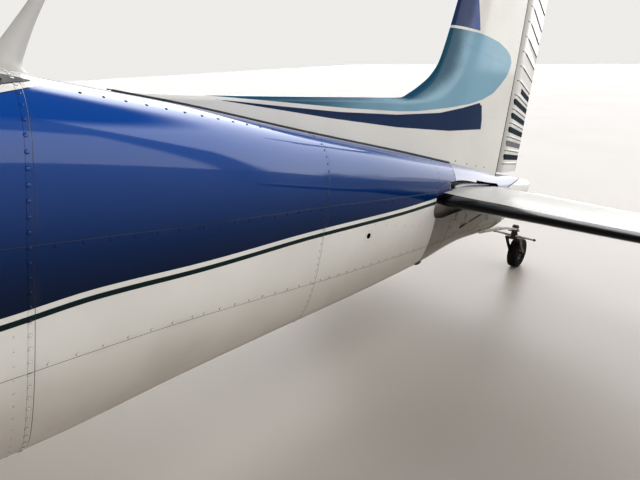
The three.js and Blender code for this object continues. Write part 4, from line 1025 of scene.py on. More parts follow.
root_paint = duller(enamel("tailplane_root_enamel", root_colour, sag=0.001))
finished(mark_inside(mark_hull(mark_tail(tailplane_skin))), root_paint, "tailplane", replaces=["stabilizer"])
finished(mark_tail(joined("elevator_hinge_lugs", lugs)), tail_paint, "tailplane")

# Rivets of the tailplane: behind the boot, on the two spars and on the ribs, upper and lower side
spots_at = [(where, 190 + k * 30) for where in (0, 1) for k in range(44)]
spots_at += [(where, rib) for rib in (420, 760, 1100, 1440) for where in np.linspace(0.12, 0.9, 14)]
where, span = np.array(spots_at, float).T
lead_at, trail, half = smooth(TAIL_PLAN, span).T
fore, aft = lead_at - 96, nose_radius(lead_at, trail, half) + 24
ahead = fore - (fore - aft) * where
high = tail_thickness((lead_at - ahead) / (lead_at + trail)) * half
heads = []
for side in (1, -1):
    for face in (1, -1):
        centres = spread(ahead, side * span, face * high)
        heads.append(rivets(trimmed(centres), (trimmed(centres + [0, 0, 1]) - trimmed(centres)) * face,
                            3.0, 1.4))
finished(mark_feet(mark_tail(joined("tailplane_rivets", heads, outward=False))), tail_paint, "tailplane")

# Boots: glossy black rubber sheet 2.4 mm thick, wrapped 78 mm over the leading edge, glued, with a
# feathered edge
boot_rubber = Finish("boot_rubber", Base_Color=(0.0025, 0.0025, 0.003),
                     IOR=1.4, Coat_Weight=0.1, Coat_Roughness=0.1)
boot_rubber.wears(Roughness=boot_rubber.mottle(9.0, 5.0).rise(0.3, 0.8, 0.12, 0.30),
                  Normal=boot_rubber.relief(boot_rubber.mottle(14.0, 3.0), 0.0011))


def over_nose(lead, trail, half):
    """Chord shares that the boot covers; it is widest at the root."""
    width = np.interp(lead, [300, 400, 560, 625], [40, 60, 60, 78])
    return np.linspace(0, 1, 22) ** 1.6 * (width / (lead + trail))[:, None]


for name, side in SIDES:
    boot_spans = side * np.linspace(130, 1480, 62)
    outer = tail_rows(boot_spans, over_nose, 2.4)
    outer[:, [0, -1], 2] = tail_rows(boot_spans, over_nose, 0.3)[:, [0, -1], 2]
    outer[:, outer.shape[1] // 2, 0] += 2.4
    inner = tail_rows(boot_spans, over_nose, -1.0)
    boot = solid(f"boot_skin_{name}", trimmed(np.concatenate([outer, inner[:, ::-1]], 1)))
    finished(boot, boot_rubber, "tailplane", replaces=[f"boot_{name}"])

# Elevator: both halves on one tube, skinned in beaded sheet, with a horn balance at each tip
DROOP = math.radians(6)
ELEVATOR_BEADS = np.arange(300, 1500, 92.0)
tube_turn = circle(16)
tube = spread(16 * np.cos(tube_turn), np.array([[-170], [170]]), 16 * np.sin(tube_turn))
elevator_parts = [weave(trimmed(tube, DROOP))]
spans = np.unique(np.concatenate([np.linspace(129, 1640, 40), np.linspace(1640, 1660, 6),
                                  *[b + np.linspace(-9, 9, 9) for b in ELEVATOR_BEADS]]))
lead_at, trail, half = smooth(TAIL_PLAN, spans).T
radius = (nose_radius(lead_at, trail, half) - 1)[:, None]
turn = np.radians(np.linspace(90, -90, 15))
nose = spread(radius * np.cos(turn), spans[:, None], radius * np.sin(turn))
back = np.linspace(0, 1, 20)[1:]
behind = trail[:, None] * back
high = tail_thickness((lead_at[:, None] + behind) / (lead_at + trail)[:, None]) * half[:, None]
fade = np.clip((back - 0.1) / 0.1, 0, 1) * np.clip((1 - back) / 0.05, 0, 1)
high = high + beading(spans, ELEVATOR_BEADS, 8, 4)[:, None] * fade
# The inboard end is cut away on a slant to clear the rudder
slant = 88 * np.clip(1 - (spans - 129) / 200, 0, 1)[:, None] * back
under = spread(-behind, spans[:, None] + slant, -high)
elevator_half = np.concatenate([nose, under, under[:, ::-1] * [1, 1, -1]], 1)
horn_spans = np.unique(np.concatenate([np.linspace(1508, 1640, 12), np.linspace(1640, 1659, 6)]))
horn = tail_rows(horn_spans, lambda lead, trail, half: np.linspace(0, 1, 20) ** 1.8
                 * ((lead + 40) / (lead + trail))[:, None],
                 lambda share: -0.5 * np.minimum(1, share * 50))
for side in (1, -1):
    elevator_parts += [weave(trimmed(grid * [1, side, 1], DROOP)) for grid in (elevator_half, horn)]
elevator_paint = Finish("elevator_enamel", Coat_Weight=0.4, Coat_Roughness=0.06, Roughness=0.22)
elevator_paint.wears(Base_Color=plain_white(elevator_paint),
                     Normal=elevator_paint.relief(elevator_paint.mottle(3.0, 2.0), 0.0008))
finished(joined("elevator_skin", elevator_parts), elevator_paint,
         "elevator", crease=50, replaces=["elevator"])

# Tail cap: a moulded cone behind the slanting joint, screwed on, with a faired foot for the tail light
cap_rows = np.concatenate([np.arange(5600, 5900, 12), np.arange(5900, 6134, 5), [6136, 6138, 6139.5]])
cap_skin = solid("tail_cap_skin", hull_grid(HULL, cap_rows, 120))
carve(cap_skin, "INTERSECT", side_prism([(5908, 0), (5703, 300), (5765, 419),
                                         (5963, 469), (5988, 700), (6500, 700), (6500, 0)], -300, 300))
cap_paint = Finish("cap_enamel", Coat_Weight=0.5, Coat_Roughness=0.05, Roughness=0.2)
cap_paint.wears(Base_Color=plain_white(cap_paint),
                Normal=cap_paint.relief(cap_paint.mottle(6.0, 2.0), 0.0008))
finished(cap_skin, cap_paint, crease=40, replaces=["tail_cap"])
# Black sealant in the joint ahead of the cap
joints = []
for path, lift, radius in (([(5762, 420), (5800, 430), (5860, 445), (5910, 457), (5960, 470)], 0.5, 3.2),
                           ([(5703, 300), (5740, 245), (5790, 172)], 0.3, 2.0)):
    joints += [bead(beside_hull(path, side, lift), radius) for side in (1, -1)]
finished(joined("cap_joint_seal", joints), rubber)


# Rivets and fittings of the tail cone: domed heads round its frames and along both lapped seams, a doubler
# patch, a row for an inner angle, and on the port side a round hole with its ring of heads. Set proud of
# the skin.
def on_skin(places, side=1):
    """Places on the skin for (station, height) pairs on one side, and the outward directions there."""
    s, z = np.asarray(places, float).T
    y, out = hull_side(s, z)
    return spread(s, side * y, z), out * [1, side, 1]


def beside(line, steps, lift):
    """(station, height) pairs along a lapped seam, lift above it; steps are (from, to, spacing)."""
    s = np.concatenate([np.arange(*step) for step in steps])
    return spread(s, smooth(line, s)[:, 0] + lift)


heads = []
for station, spacing, radius in ((2877, 40, 7.0), (4018, 31, 5.0), (4878, 28, 3.4), (5046, 28, 3.4)):
    places, out = ring_places(station, spacing)
    clear = (station < 4800) | (places[:, 2] > 474) | (places[:, 2] < 205)
    heads.append(rivets(places[clear], out[clear], radius, radius * 0.5))
FRAME_ROWS = [(beside(UPPER_LINE, ((2941, 3400, 74), (3405, 4010, 65), (4062, 4840, 52)), -10), 6.0),
              (beside(LOWER_LINE, ((2925, 3400, 78), (3440, 4010, 70), (4062, 5600, 58)), 9), 5.6),
              ([(s, 252 - (s - 4376) * 0.07) for s in (4376, 4460, 4538, 4612, 4682, 4746)], 4.2),
              ([(4060, 291), (4082, 303), (4123, 288), (4172, 291)], 5.6),
              ([(s, 150 - (s - 5120) * 0.05) for s in np.arange(5120, 5600, 44)], 2.8)]
for side in (1, -1):
    for row, radius in FRAME_ROWS:
        heads.append(rivets(*on_skin(row, side), radius, radius * 0.55))
ring = np.radians(np.arange(20, 380, 45))
ring = spread(PORT_HOLE[0] + 26 * np.cos(ring), PORT_HOLE[1] + 26 * np.sin(ring))
heads.append(rivets(*on_skin(ring), 3.6, 1.8))
cone_heads = mark_feet(mark_hull(joined("tail_cone_rivets", heads, outward=False)))
finished(cone_heads, hull_paint)

# Dark screws of the fillet: they hold its foot to the deck of the tail cone, in a row well out from the seal,
# and at the foot of the fin
dark_screw = Finish("dark_screw", Base_Color=(0.012, 0.012, 0.014), Metallic=0.6)
dark_screw.wears(Roughness=dark_screw.mottle(90.0, 3.0).rise(0.3, 0.7, 0.3, 0.6))
deck_s = np.arange(3042, 3900, 66.0)
deck_z = smooth([[3042, 704], [3241, 690], [3434, 675], [3650, 659], [3900, 638]], deck_s)[:, 0]
foot_s = np.array([5140, 5260, 5360, 5450.0])
screws = []
for side in (1, -1):
    screws.append(rivets(*on_skin(spread(deck_s, deck_z), side), 5.6, 2.4))
    foot_z = np.array([564, 552, 543, 536.0])
    foot = spread(foot_s, side * fin_half(foot_s, foot_z), foot_z)
    screws.append(rivets(foot, [0.0, side, 0.0], 4.5, 2.5))
finished(joined("fillet_screws", screws, outward=False), dark_screw)

# Openings and marks low on the tail: a jacking handle's slot, a drain under the belly, and black sealant
# beside it
MARKS = [([(5196, 183), (5214, 189), (5236, 196)], 6.5), ([(5292, 214), (5350, 232), (5408, 250)], 4.5),
         ([(5240, 200), (5262, 206)], 4.0), ([(5095, 284), (5104, 262), (5112, 244)], 1.5),
         ([(5080, 240), (5100, 236), (5120, 238)], 2.2)]
marks = []
for side in (1, -1):
    for path, radius in MARKS:
        places, _ = on_skin(path, side)
        marks.append(bead(places, radius, 10))
drain, _ = on_skin(spread(np.linspace(4868, 4930, 9), np.linspace(-24, -12, 9)))
marks.append(bead(drain, [3, 7, 9, 10, 10, 10, 9, 7, 3], 12))
for side in (1, -1):
    edge_s = np.linspace(2846, 2921, 9)
    share = (edge_s - 2846) / 75
    lower, _ = on_skin(spread(edge_s, 703 + 16 * share), side)
    upper, _ = on_skin(spread(edge_s, 727 - 7 * share), side)
    lift = np.array([0, side * 1.0, 2.2])
    marks.append(weave(np.stack([lower - lift, lower + lift, upper + lift, upper - lift], 1)))
finished(joined("tail_marks", marks), rubber)

# Root strips: a pale rubber wiper along the upper edge of each slot, bonded to the tailplane's root
strip_rubber = patchy("wiper_strip", (0.50, 0.50, 0.60), (0.70, 0.70, 0.78),
                      (60.0, 3.0), None, (110.0, 2.0, 0.0015), Roughness=0.55)
strip_s = np.linspace(5096, 5530, 48)
strip_z = smooth([[5096, 422], [5190, 430], [5300, 433], [5430, 431], [5530, 427]], strip_s)[:, 0]
thick = np.interp(strip_s, [5096, 5130, 5530], [5, 10, 4]) * (1 + 0.22 * np.sin(strip_s / 7.0))
strips = [bead(beside_hull(spread(strip_s, strip_z), side, -34), thick, 10) for side in (1, -1)]
finished(joined("root_wipers", strips), strip_rubber, "tailplane")


# Tail gear: a steel leaf spring out of the tail, a swivelling fork with steering horns, and a small solid
# wheel.
KINGPIN = 6095
STEER = math.radians(7.5)
gear_steel = patchy("gear_enamel", (0.40, 0.37, 0.33), (0.07, 0.045, 0.03),
                    (26.0, 5.0), (0.5, 0.72), (120.0, 4.0, 0.0003), Coat_Weight=0.2, Roughness=0.4)
dark_steel = patchy("dark_steel", (0.016, 0.012, 0.011), (0.060, 0.036, 0.024),
                    (40.0, 5.0), (0.4, 0.7), Metallic=0.5, Roughness=0.45)


def castored(places):
    """Places drawn about the kingpin (behind it, to port, height) turned by the castor's parked angle."""
    back, port, high = axes(places)
    back, port = swing(back, port, -STEER)
    return spread(KINGPIN + back, port, high)


def brick(low, high):
    """A plain box between two corners."""
    (a, b, c), (d, e, f) = low, high
    rows = [[(a, y, c), (d, y, c), (d, y, f), (a, y, f)] for y in (b, e)]
    return weave(np.array(rows, float))


rows = np.linspace(5600, 6121, 60)
z, thick = smooth([[5600, 96, 20], [5760, 104, 19], [5900, 108, 17], [6040, 98, 15], [6121, 88, 14]], rows).T
# The leaf's section: place across, and share of the thickness above its lower face
edge_y, edge_t = np.array([(-19, 0.15), (-18, 0), (18, 0), (19, 0.15),
                           (19, 0.85), (18, 1), (-18, 1), (-19, 0.85)]).T
spring = solid("tail_leaf", spread(rows[:, None], edge_y, z[:, None] + thick[:, None] * edge_t))
cut(spring, body_solid("tail_room", HULL, np.arange(5300, 6141, 20), 0.4))
finished(spring, gear_steel, replaces=["tail_spring"])
pin = [bead([[KINGPIN, 0, 70], [KINGPIN, 0, 128]], 20, 28),
       bead([[KINGPIN, 0, 112], [KINGPIN, 0, 119]], 25, 6),
       bead([[KINGPIN - 30, 0, 105], [KINGPIN - 30, 0, 114]], 8, 6),
       brick((6040, -24, 84), (6122, 24, 88))]
finished(joined("kingpin_housing", pin), dark_steel, crease=40)
fork = [bead([[0, 0, 30], [0, 0, 69.6]], 24, 28), brick((-26, -52, 24), (58, 52, 38))]
for side in (1, -1):
    arc = np.linspace(0, 1, 14)
    centre = spread(12 + 119 * arc ** 1.5, side * 49.5, 34 - 127.4 * arc)
    half = 26 - 10 * np.sin(arc * np.pi) - 6 * arc
    ring = np.stack([spread(centre[:, 0] + half * k, centre[:, 1] + e, centre[:, 2] + 6 * k)
                     for k, e in ((-1, -3.5), (1, -3.5), (1, 3.5), (-1, 3.5))], 1)
    fork.append(weave(ring))
    fork.append(bead([[131, side * 44, -93.4], [131, side * 60, -93.4]], 13, 24))
fork.append(bead([[131, -62, -93.4], [131, 62, -93.4]], 8, 16))
finished(joined("castor_fork", fork, castored), dark_steel, "tail_castor", crease=40, replaces=["tail_fork"])
horns = [bead([[0, -150, 50], [-10, -20, 50], [-10, 20, 50], [0, 150, 50]], [6, 9, 9, 6], 12)]
finished(joined("steering_horns", horns, castored), gear_steel, "tail_castor")
knobs = [bead([[0, side * 148, z] for z in (42, 45, 50, 55, 58)], [5, 9, 10, 9, 5], 14) for side in (1, -1)]
finished(joined("horn_balls", knobs, castored), rubber, "tail_castor")


def turned(profile, count, axle):
    """Points and faces of a closed profile of (across, radius) points, turned about an axle at (station,
    across, height)."""
    across, radius = np.array(profile, float).T
    turn = circle(count)[:, None]
    grid = spread(radius * np.cos(turn), across, radius * np.sin(turn)) + axle
    number = np.arange(grid[..., 0].size).reshape(grid.shape[:2])
    nxt, beside = np.roll(number, -1, 0), np.roll(number, -1, 1)
    faces = np.stack([number, beside, np.roll(nxt, -1, 1), nxt], -1).reshape(-1, 4).tolist()
    return grid.reshape(-1, 3), faces


def tyre_profile(radius, rim, half, grooves, depth):
    """One closed outline of a tyre's section: bead seats, bulged walls, and a flat tread with round
    grooves."""
    mid = (rim + radius) / 2
    tread = np.linspace(-0.72, 0.72, 61) * half
    cut = np.zeros(61)
    for g in grooves:
        cut = np.maximum(cut, depth * np.clip(1 - (np.abs(tread - g * half) / (0.055 * half)) ** 2,
                                              0, 1) ** 0.5)
    crown = radius - 0.05 * half * (np.abs(tread) / (0.72 * half)) ** 3 * 2
    outer = list(zip(tread, crown - cut))
    bulge = (radius - 0.06 * half - mid) * 1.02
    wall = [(half * (0.72 + 0.28 * math.cos(a) ** 0.8), mid + bulge * math.sin(a))
            for a in np.radians(np.linspace(72, -72, 17))]
    seat = [(half * 0.70, rim + 0.6), (-half * 0.70, rim + 0.6)]
    other = [(-a, r) for a, r in wall[::-1]]
    return outer + wall + seat + other


tyre_rubber = patchy("tyre_rubber", (0.0035, 0.0035, 0.004), (0.026, 0.023, 0.020), (12.0, 5.0),
                     (0.42, 0.75), (180.0, 3.0, 0.0003), Roughness=0.85, Specular_IOR_Level=0.12)
TAIL_AXLE = (131, 0, -93.4)
tread = turned(tyre_profile(111.3, 46, 34, (-0.45, 0, 0.45), 3), 72, TAIL_AXLE)
finished(joined("tail_tyre_tread", [tread], castored), tyre_rubber,
         "tail_wheel", crease=40, replaces=["tail_tyre"])
HUB = [(-27, 10), (-27, 20), (-19, 28), (-17, 40), (-23, 43), (-25, 46),
       (25, 46), (23, 43), (17, 40), (19, 28), (27, 20), (27, 10)]
finished(joined("tail_wheel_rim", [turned(HUB, 48, TAIL_AXLE)], castored),
         dark_steel, "tail_wheel", crease=30, replaces=["tail_rim"])


# Cabin skin: the same lapped sheet from the firewall back to the tail cone, with the roof over the seats.
# Doorways, windows and the windshield opening are cut through it; the trim inside is a beige fabric lining.
FLOOR = -385
DOORWAY = [[508, -372], [508, 246], [690, 662], [1436, 662], [1436, -130], [1300, -372]]
DOOR_WINDOW = [[606, 292], [742, 602], [1376, 602], [1376, 292]]
WINDSHIELD = [[-60, 384], [75, 384], [432, 288], [655, 690], [678, 760], [678, 980], [-60, 980]]
SIDE_WINDOW = [[1520, 296], [1520, 640], [2200, 668], [2290, 392]]
QUARTER_WINDOW = [[2352, 436], [2286, 672], [2560, 700], [2862, 716]]
BAGGAGE_DOORWAY = [[2080, -180], [2080, 262], [2560, 262], [2560, -180]]


def inset(outline, distance):
    """An outline with every side moved inward (outward if negative) by the same distance."""
    corners = np.asarray(outline, float)
    area = np.sum(corners[:, 0] * np.roll(corners[:, 1], -1) - np.roll(corners[:, 0], -1) * corners[:, 1])
    into, out = corners - np.roll(corners, 1, 0), np.roll(corners, -1, 0) - corners
    a = into / np.hypot(*into.T)[:, None]
    b = out / np.hypot(*out.T)[:, None]
    turn = math.copysign(1, area)
    normal_a, normal_b = spread(-a[:, 1], a[:, 0]) * turn, spread(-b[:, 1], b[:, 0]) * turn
    share = distance / (1 + np.sum(normal_a * normal_b, -1))[:, None]
    return corners + (normal_a + normal_b) * share


def cabin_shell(name):
    """The cabin's wall, 26 mm thick: the outer form less the room inside it, which is floored."""
    shell = body_solid(name, HULL, np.concatenate([[0.4], np.arange(16, 2870, 16), [2872.7]]), 0)
    room = body_solid("room", HULL, np.linspace(22, 2850, 150), -26)
    carve(room, "INTERSECT", side_prism([(0, FLOOR), (2900, FLOOR), (2900, 900), (0, 900)], -700, 700))
    return cut(shell, room)


LINING = (0.42, 0.39, 0.34)


def cabin_colour(paint):
    return paint.mix(paint.field("inside").rise(0.012, 0.020), hull_colour(paint), LINING)


cabin_paint = enamel("cabin_enamel", cabin_colour, (420, 1436, 2060), ("over_upper_lap", "over_lower_lap"))
cabin = cabin_shell("cabin_skin")
for side in (1, -1):
    low, high = sorted((side * 150, side * 800))
    for outline, radius in ((DOORWAY, 46), (SIDE_WINDOW, 60), (QUARTER_WINDOW, 34)):
        cut(cabin, side_prism(rounded(outline, radius), low, high))
cut(cabin, side_prism(rounded(BAGGAGE_DOORWAY, 40), 150, 800))
cut(cabin, side_prism(WINDSHIELD, -800, 800))
finished(mark_inside(mark_hull(cabin)), cabin_paint, replaces=["cabin_upper", "cabin_lower"])

# Doors: pressed aluminium skins on a frame, hung on two external hinges each; the cabin doors carry a window
# and a flush handle, the baggage door two quarter-turn latches
steel = Finish("bare_steel", Base_Color=(0.55, 0.55, 0.56), Metallic=1.0)
steel.wears(Roughness=steel.mottle(60.0, 3.0).rise(0.3, 0.7, 0.22, 0.42))
door_paint = enamel("door_enamel", cabin_colour, (), ("over_lower_lap",), sag=0.001)
DOORS = [("door_left", DOORWAY, 1, 500, 573, (-150, 110)),
         ("door_right", DOORWAY, -1, 500, 573, (-150, 110)),
         ("baggage_door", BAGGAGE_DOORWAY, 1, 2072, 528, (-60, 160))]
fixed_knuckles = []
for name, outline, side, station, across, heights in DOORS:
    low, high = sorted((side * 150, side * 800))
    door = cabin_shell(f"{name}_skin")
    carve(door, "INTERSECT", side_prism(rounded(inset(outline, 5.5), 42), low, high))
    if name != "baggage_door":
        cut(door, side_prism(rounded(DOOR_WINDOW, 48), low, high))
    finished(mark_inside(mark_hull(door)), door_paint, name, replaces=[name])
    moving = []
    for z in heights:
        for start, target, reach in ((z, moving, 1), (z - 44.3, fixed_knuckles, -1)):
            knuckle = [[station, side * across, start], [station, side * across, start + 44]]
            target.append(bead(knuckle, 8, 16))
            leaf = np.array([[station + reach * k, side * (across + e), w]
                             for k, e, w in ((0, 4, 0), (0, 1, 0), (34, -6, 0), (34, -3, 0))])
            leaf = np.stack([leaf + [0, 0, start], leaf + [0, 0, start + 44]])
            target.append(weave(leaf))
    finished(joined(f"{name}_hinges", moving), steel, name, crease=40)
finished(joined("door_hinge_roots", fixed_knuckles), steel, crease=40)


def on_side(places, side, lift=0.0):
    """Places lift mm off the cabin's skin for (station, height) pairs on one side."""
    centres, out = on_skin(places, side)
    return centres + out / np.linalg.norm(out, axis=1, keepdims=True) * lift


def plate(middle, length, height, side, thick=2.4):
    """A rounded plate bent to the skin: rings of points 1 mm under it and thick over it."""
    turn = circle(30)
    edge = spread(np.sign(np.cos(turn)) * np.abs(np.cos(turn)) ** 0.4 * length / 2,
                  np.sign(np.sin(turn)) * np.abs(np.sin(turn)) ** 0.4 * height / 2) + middle
    soft = (edge - middle) * (1 - 1.6 / height) + middle
    rings = [on_side(edge, side, -1), on_side(edge, side, thick * 0.6), on_side(soft, side, thick)]
    return weave(np.array(rings))


# Each cabin door has a steel handle folded flat in its plate, and a lock below it
for name, side in (("door_left", 1), ("door_right", -1)):
    handle = [plate((1330, 176), 150, 44, side),
              bead(on_side([(1286, 170), (1340, 172), (1384, 178)], side, 5), [5, 6, 4], 12),
              plate((1330, 118), 20, 20, side, 3.5)]
    finished(joined(f"{name}_handle", handle), steel, name, crease=40)
latches = [part for z in (-60, 150)
           for part in (plate((2528, z), 30, 30, 1, 2), plate((2528, z), 6, 24, 1, 5))]
finished(joined("baggage_door_latches", latches), steel, "baggage_door", crease=40)

# Rivets of the cabin: round its frames, along both laps, and round the windows and doorways
heads = []
openings = [(DOORWAY, (1, -1)), (SIDE_WINDOW, (1, -1)), (QUARTER_WINDOW, (1, -1)),
            (WINDSHIELD, (1, -1)), (BAGGAGE_DOORWAY, (1,))]


def clear_of_openings(places, side, gap):
    """Which of the (station, height) places lie on the skin at least gap mm outside every opening."""
    keep = np.ones(len(places), bool)
    for outline, sides in openings:
        if side in sides:
            keep &= inside(outline, places) * 1000 < -gap
    return keep


for side in (1, -1):
    lines = [(beside(UPPER_LINE, ((1480, 2800, 60),), -10), 4.6),
             (beside(LOWER_LINE, ((470, 2800, 60),), 9), 4.6)]
    for outline, sides in openings:
        if side in sides and outline is not WINDSHIELD:
            edge = inset(outline, -17)
            loop = np.vstack([edge, edge[:1]])
            lines.append((np.column_stack(along_line(loop, 48)), 3.6))
    lines += [(spread(s, np.linspace(-440, 640, 30)), 3.8) for s in (440, 1456, 2080)]
    for line, radius in lines:
        line = line[clear_of_openings(line, side, 13)]
        line = line[(line[:, 1] < smooth(HULL, line[:, 0])[:, 0]
                     - 8) & (line[:, 0] > 430) & (line[:, 0] < 2850)]
        under_wing = (line[:, 0] > 640) & (line[:, 0] < 2320) & (line[:, 1] > 680)
        heads.append(rivets(*on_skin(line[~under_wing], side), radius, radius * 0.5))
for station in (440, 1456, 2080, 2840):
    places, out = ring_places(station, 44)
    low = places[:, 2] < smooth(HULL, [station])[0, 3] - 330
    heads.append(rivets(places[low], out[low], 3.8, 1.9))
cabin_heads = mark_feet(mark_inside(mark_hull(joined("cabin_rivets", heads, outward=False))))
finished(cabin_heads, cabin_paint)

# Cabin glass: tinted acrylic sheet 6 mm thick, let in just under the skin and bedded on black rubber
glazing = Finish("tinted_acrylic", Base_Color=(0.012, 0.035, 0.042),
                 Roughness=0.03, Coat_Weight=1.0, Coat_Roughness=0.02, Alpha=0.42, IOR=1.49)
# Node, opening, how far the corners of the pane and of its seal are rounded, side and body
PANES = [("windshield", WINDSHIELD, 0, 0, 0, "airframe")]
for label, side in SIDES:
    PANES += [(f"side_window_{label}", SIDE_WINDOW, 58, 60, side, "airframe"),
              (f"quarter_window_{label}", QUARTER_WINDOW, 33, 34, side, "airframe"),
              (f"door_window_{label}", DOOR_WINDOW, 47, 48, side, f"door_{label}")]
seals = {"airframe": [], "door_left": [], "door_right": []}
for node, outline, pane_round, seal_round, side, body in PANES:
    pane = body_solid(f"{node}_pane", HULL, np.arange(1, 2873, 24), -2)
    cut(pane, body_solid("inner", HULL, np.arange(-20, 2895, 24), -8))
    shape = inset(outline, 0.6)
    if side:
        carve(pane, "INTERSECT", side_prism(rounded(shape, pane_round), *sorted((side * 60, side * 800))))
        edge = rounded(inset(outline, -1), seal_round)
        fine = [a + (b - a) * k / 4 for a, b in zip(edge, np.roll(edge, -1, 0)) for k in range(4)]
        seals[body].append(bead(beside_hull([*fine, fine[0]], side, -1.0), 5, 10, 0.7))
    else:
        carve(pane, "INTERSECT", side_prism(shape, -800, 800))
    finished(pane, glazing, body, replaces=[node])
for body, parts in seals.items():
    finished(joined(f"{body}_glazing_seals", parts), rubber, body)


# Aerial: a swept whip blade of painted fibreglass on a flared foot, screwed to the roof. Leaf sections
# shrink from the foot to the round tip: chord * cos(t), half * sin(t) about each section's middle.
AERIAL = [[742, 2876, 136, 24], [752, 2878, 112, 17], [768, 2884, 92, 11.5], [800, 2898, 80, 8.5],
          [953, 2972, 40, 6], [1080, 3040, 27, 5], [1140, 3075, 20, 4], [1149, 3083, 10, 2.5]]
blade_z = np.concatenate([np.linspace(742, 800, 12), np.linspace(812, 1130, 22), np.linspace(1135, 1149, 5)])
turn = circle(24)
middle, chord, half = smooth(AERIAL, blade_z).T
blade = spread(middle[:, None] + 18 - chord[:, None] / 2 * np.cos(turn),
               half[:, None] * np.sin(turn), blade_z[:, None])
aerial_paint = patchy("aerial_grey", (0.40, 0.39, 0.375), (0.53, 0.52, 0.50),
                      (9.0, 4.0), None, (120.0, 3.0, 0.0002), Coat_Weight=0.2, Roughness=0.35)
finished(solid("aerial_blade", blade), aerial_paint, replaces=["antenna"])

# Beacon: a ribbed red glass dome on a turned metal collar at the top of the fin
lens = [(0, 0.5), (31.5, 0.5), (31.5, 4), (29, 6), (28, 16), (25, 25), (18, 31), (9, 34), (0, 34.6)]
turn = circle(48)
radius, rise = np.array(lens[1:], float).T[..., None]
radius = np.maximum(radius, 0.4) * (1 + 0.015 * np.cos(12 * turn) * (rise > 5))
dome = spread(5300 + radius * np.cos(turn), radius * np.sin(turn), 1940.3 + rise)
lens_red = Finish("beacon_red", Base_Color=(0.42, 0.008, 0.006), Roughness=0.12, Coat_Weight=0.8, IOR=1.5)
lens_red.wears(Normal=lens_red.relief(lens_red.mottle(40.0, 2.0), 0.0003))
finished(solid("beacon_lens", dome), lens_red, crease=24, replaces=["beacon"])

# Instrument panel: a padded-lip board in crackle grey across the cabin, with a T of round dials before the
# left seat, a stack of radio faces in the middle, and two control wheels on steel tubes.
crackle = patchy("crackle_grey", (0.035, 0.036, 0.04), (0.055, 0.056, 0.06),
                 (30.0, 4.0), None, (520.0, 2.0, 0.0004), Roughness=0.62)
instrument_face = Finish("instrument_face", Roughness=0.3, Coat_Weight=0.6)
instrument_face.wears(Base_Color=instrument_face.mix((instrument_face.mottle(220.0, 1.0) > 0.60),
                                                     (0.006, 0.006, 0.007), (0.30, 0.30, 0.28)))
board = solid("board", np.array([[[s, y, z] for y, z in rounded(
    [(-468, 32), (468, 32), (468, 350), (-468, 350)], 60, 8)] for s in (252, 262, 288, 290)], float))
carve(board, "INTERSECT", body_solid("cabin_room", HULL, np.linspace(200, 400, 20), -28))
finished(board, crackle, crease=40, replaces=["instrument_panel"])
# Dials: place across, height and radius
DIALS = [(y, z, 38) for y in (132, 214, 296) for z in (150, 244)]
DIALS += [(380, 150, 30), (380, 244, 30), (60, 70, 24), (-200, 230, 30), (-280, 230, 30),
          (-200, 150, 24), (-260, 150, 24), (-330, 160, 24)]
bezels, faces_of = [], []
for y, z, radius in DIALS:
    rim = [[[290 + d, y + r * math.cos(t), z + r * math.sin(t)] for t in circle(30)]
           for d, r in ((-1, radius), (6, radius), (7, radius - 3), (2, radius - 5), (-1, radius - 5))]
    bezels.append(weave(np.array(rim), ends=False))
    faces_of.append(bead([[289, y, z], [292, y, z]], radius - 4.5, 30))
    hand = np.array([[[s, y - 1.6, z], [s, y + 1.6, z], [s, y + 0.5, z + radius * 0.6]]
                     for s in (292.2, 293.4)])
    bezels.append(weave(hand))
for z in (70, 118, 166, 214, 262, 304):
    faces_of.append(weave(np.array([[[s, y, w] for y, w in rounded(
        [(-86, z - 20), (34, z - 20), (34, z + 20), (-86, z + 20)], 5, 4)] for s in (289, 294)], float)))
    for y in (-74, 22):
        bezels.append(bead([[293, y, z], [306, y, z]], 7, 16))
finished(joined("dial_bezels", bezels), dark_screw, crease=30)
finished(joined("dial_faces", faces_of), instrument_face, crease=30)
wheels, tubes = [], []
for side in (1, -1):
    tubes.append(bead([[286, side * 260, 190], [436, side * 260, 190]], 11, 20))
    grip = smooth([[0, -122, 286], [1, -124, 250], [2, -112, 208], [3, -60, 190], [4, 0, 189],
                   [5, 60, 190], [6, 112, 208], [7, 124, 250], [8, 122, 286]], np.linspace(0, 8, 50))
    wheels.append(bead(spread(441.0, side * 260 + grip[:, 0], grip[:, 1]), 9.5, 14))
    wheels.append(bead([[433, side * 260, 190], [449, side * 260, 190]], 26, 24))
finished(joined("control_wheels", wheels), rubber)
finished(joined("control_tubes", tubes), steel)

# Chairs: foam cushions in ribbed beige-grey cloth, each swollen by a cloth simulation over a pressed-in seam,
# on a frame of steel tube bolted to the floor
chair_cloth = Finish("chair_cloth", Roughness=0.92, Sheen_Weight=0.35, Sheen_Roughness=0.5)
here = chair_cloth.here()
place, across, tall = (chair_cloth.node("ShaderNodeSeparateXYZ", {0: here}, axis) for axis in range(3))
weft = (place * 1900.0).math("SINE") * (across * 1900.0).math("SINE") + (tall * 1900.0).math("SINE") * 0.5
shade = chair_cloth.mottle(7.0, 4.0)
chair_cloth.wears(Base_Color=chair_cloth.mix(shade, (0.17, 0.155, 0.135), (0.25, 0.23, 0.20)),
                  Normal=chair_cloth.relief(weft * 0.0004 + chair_cloth.mottle(400.0, 2.0) * 0.0003, 1.0))


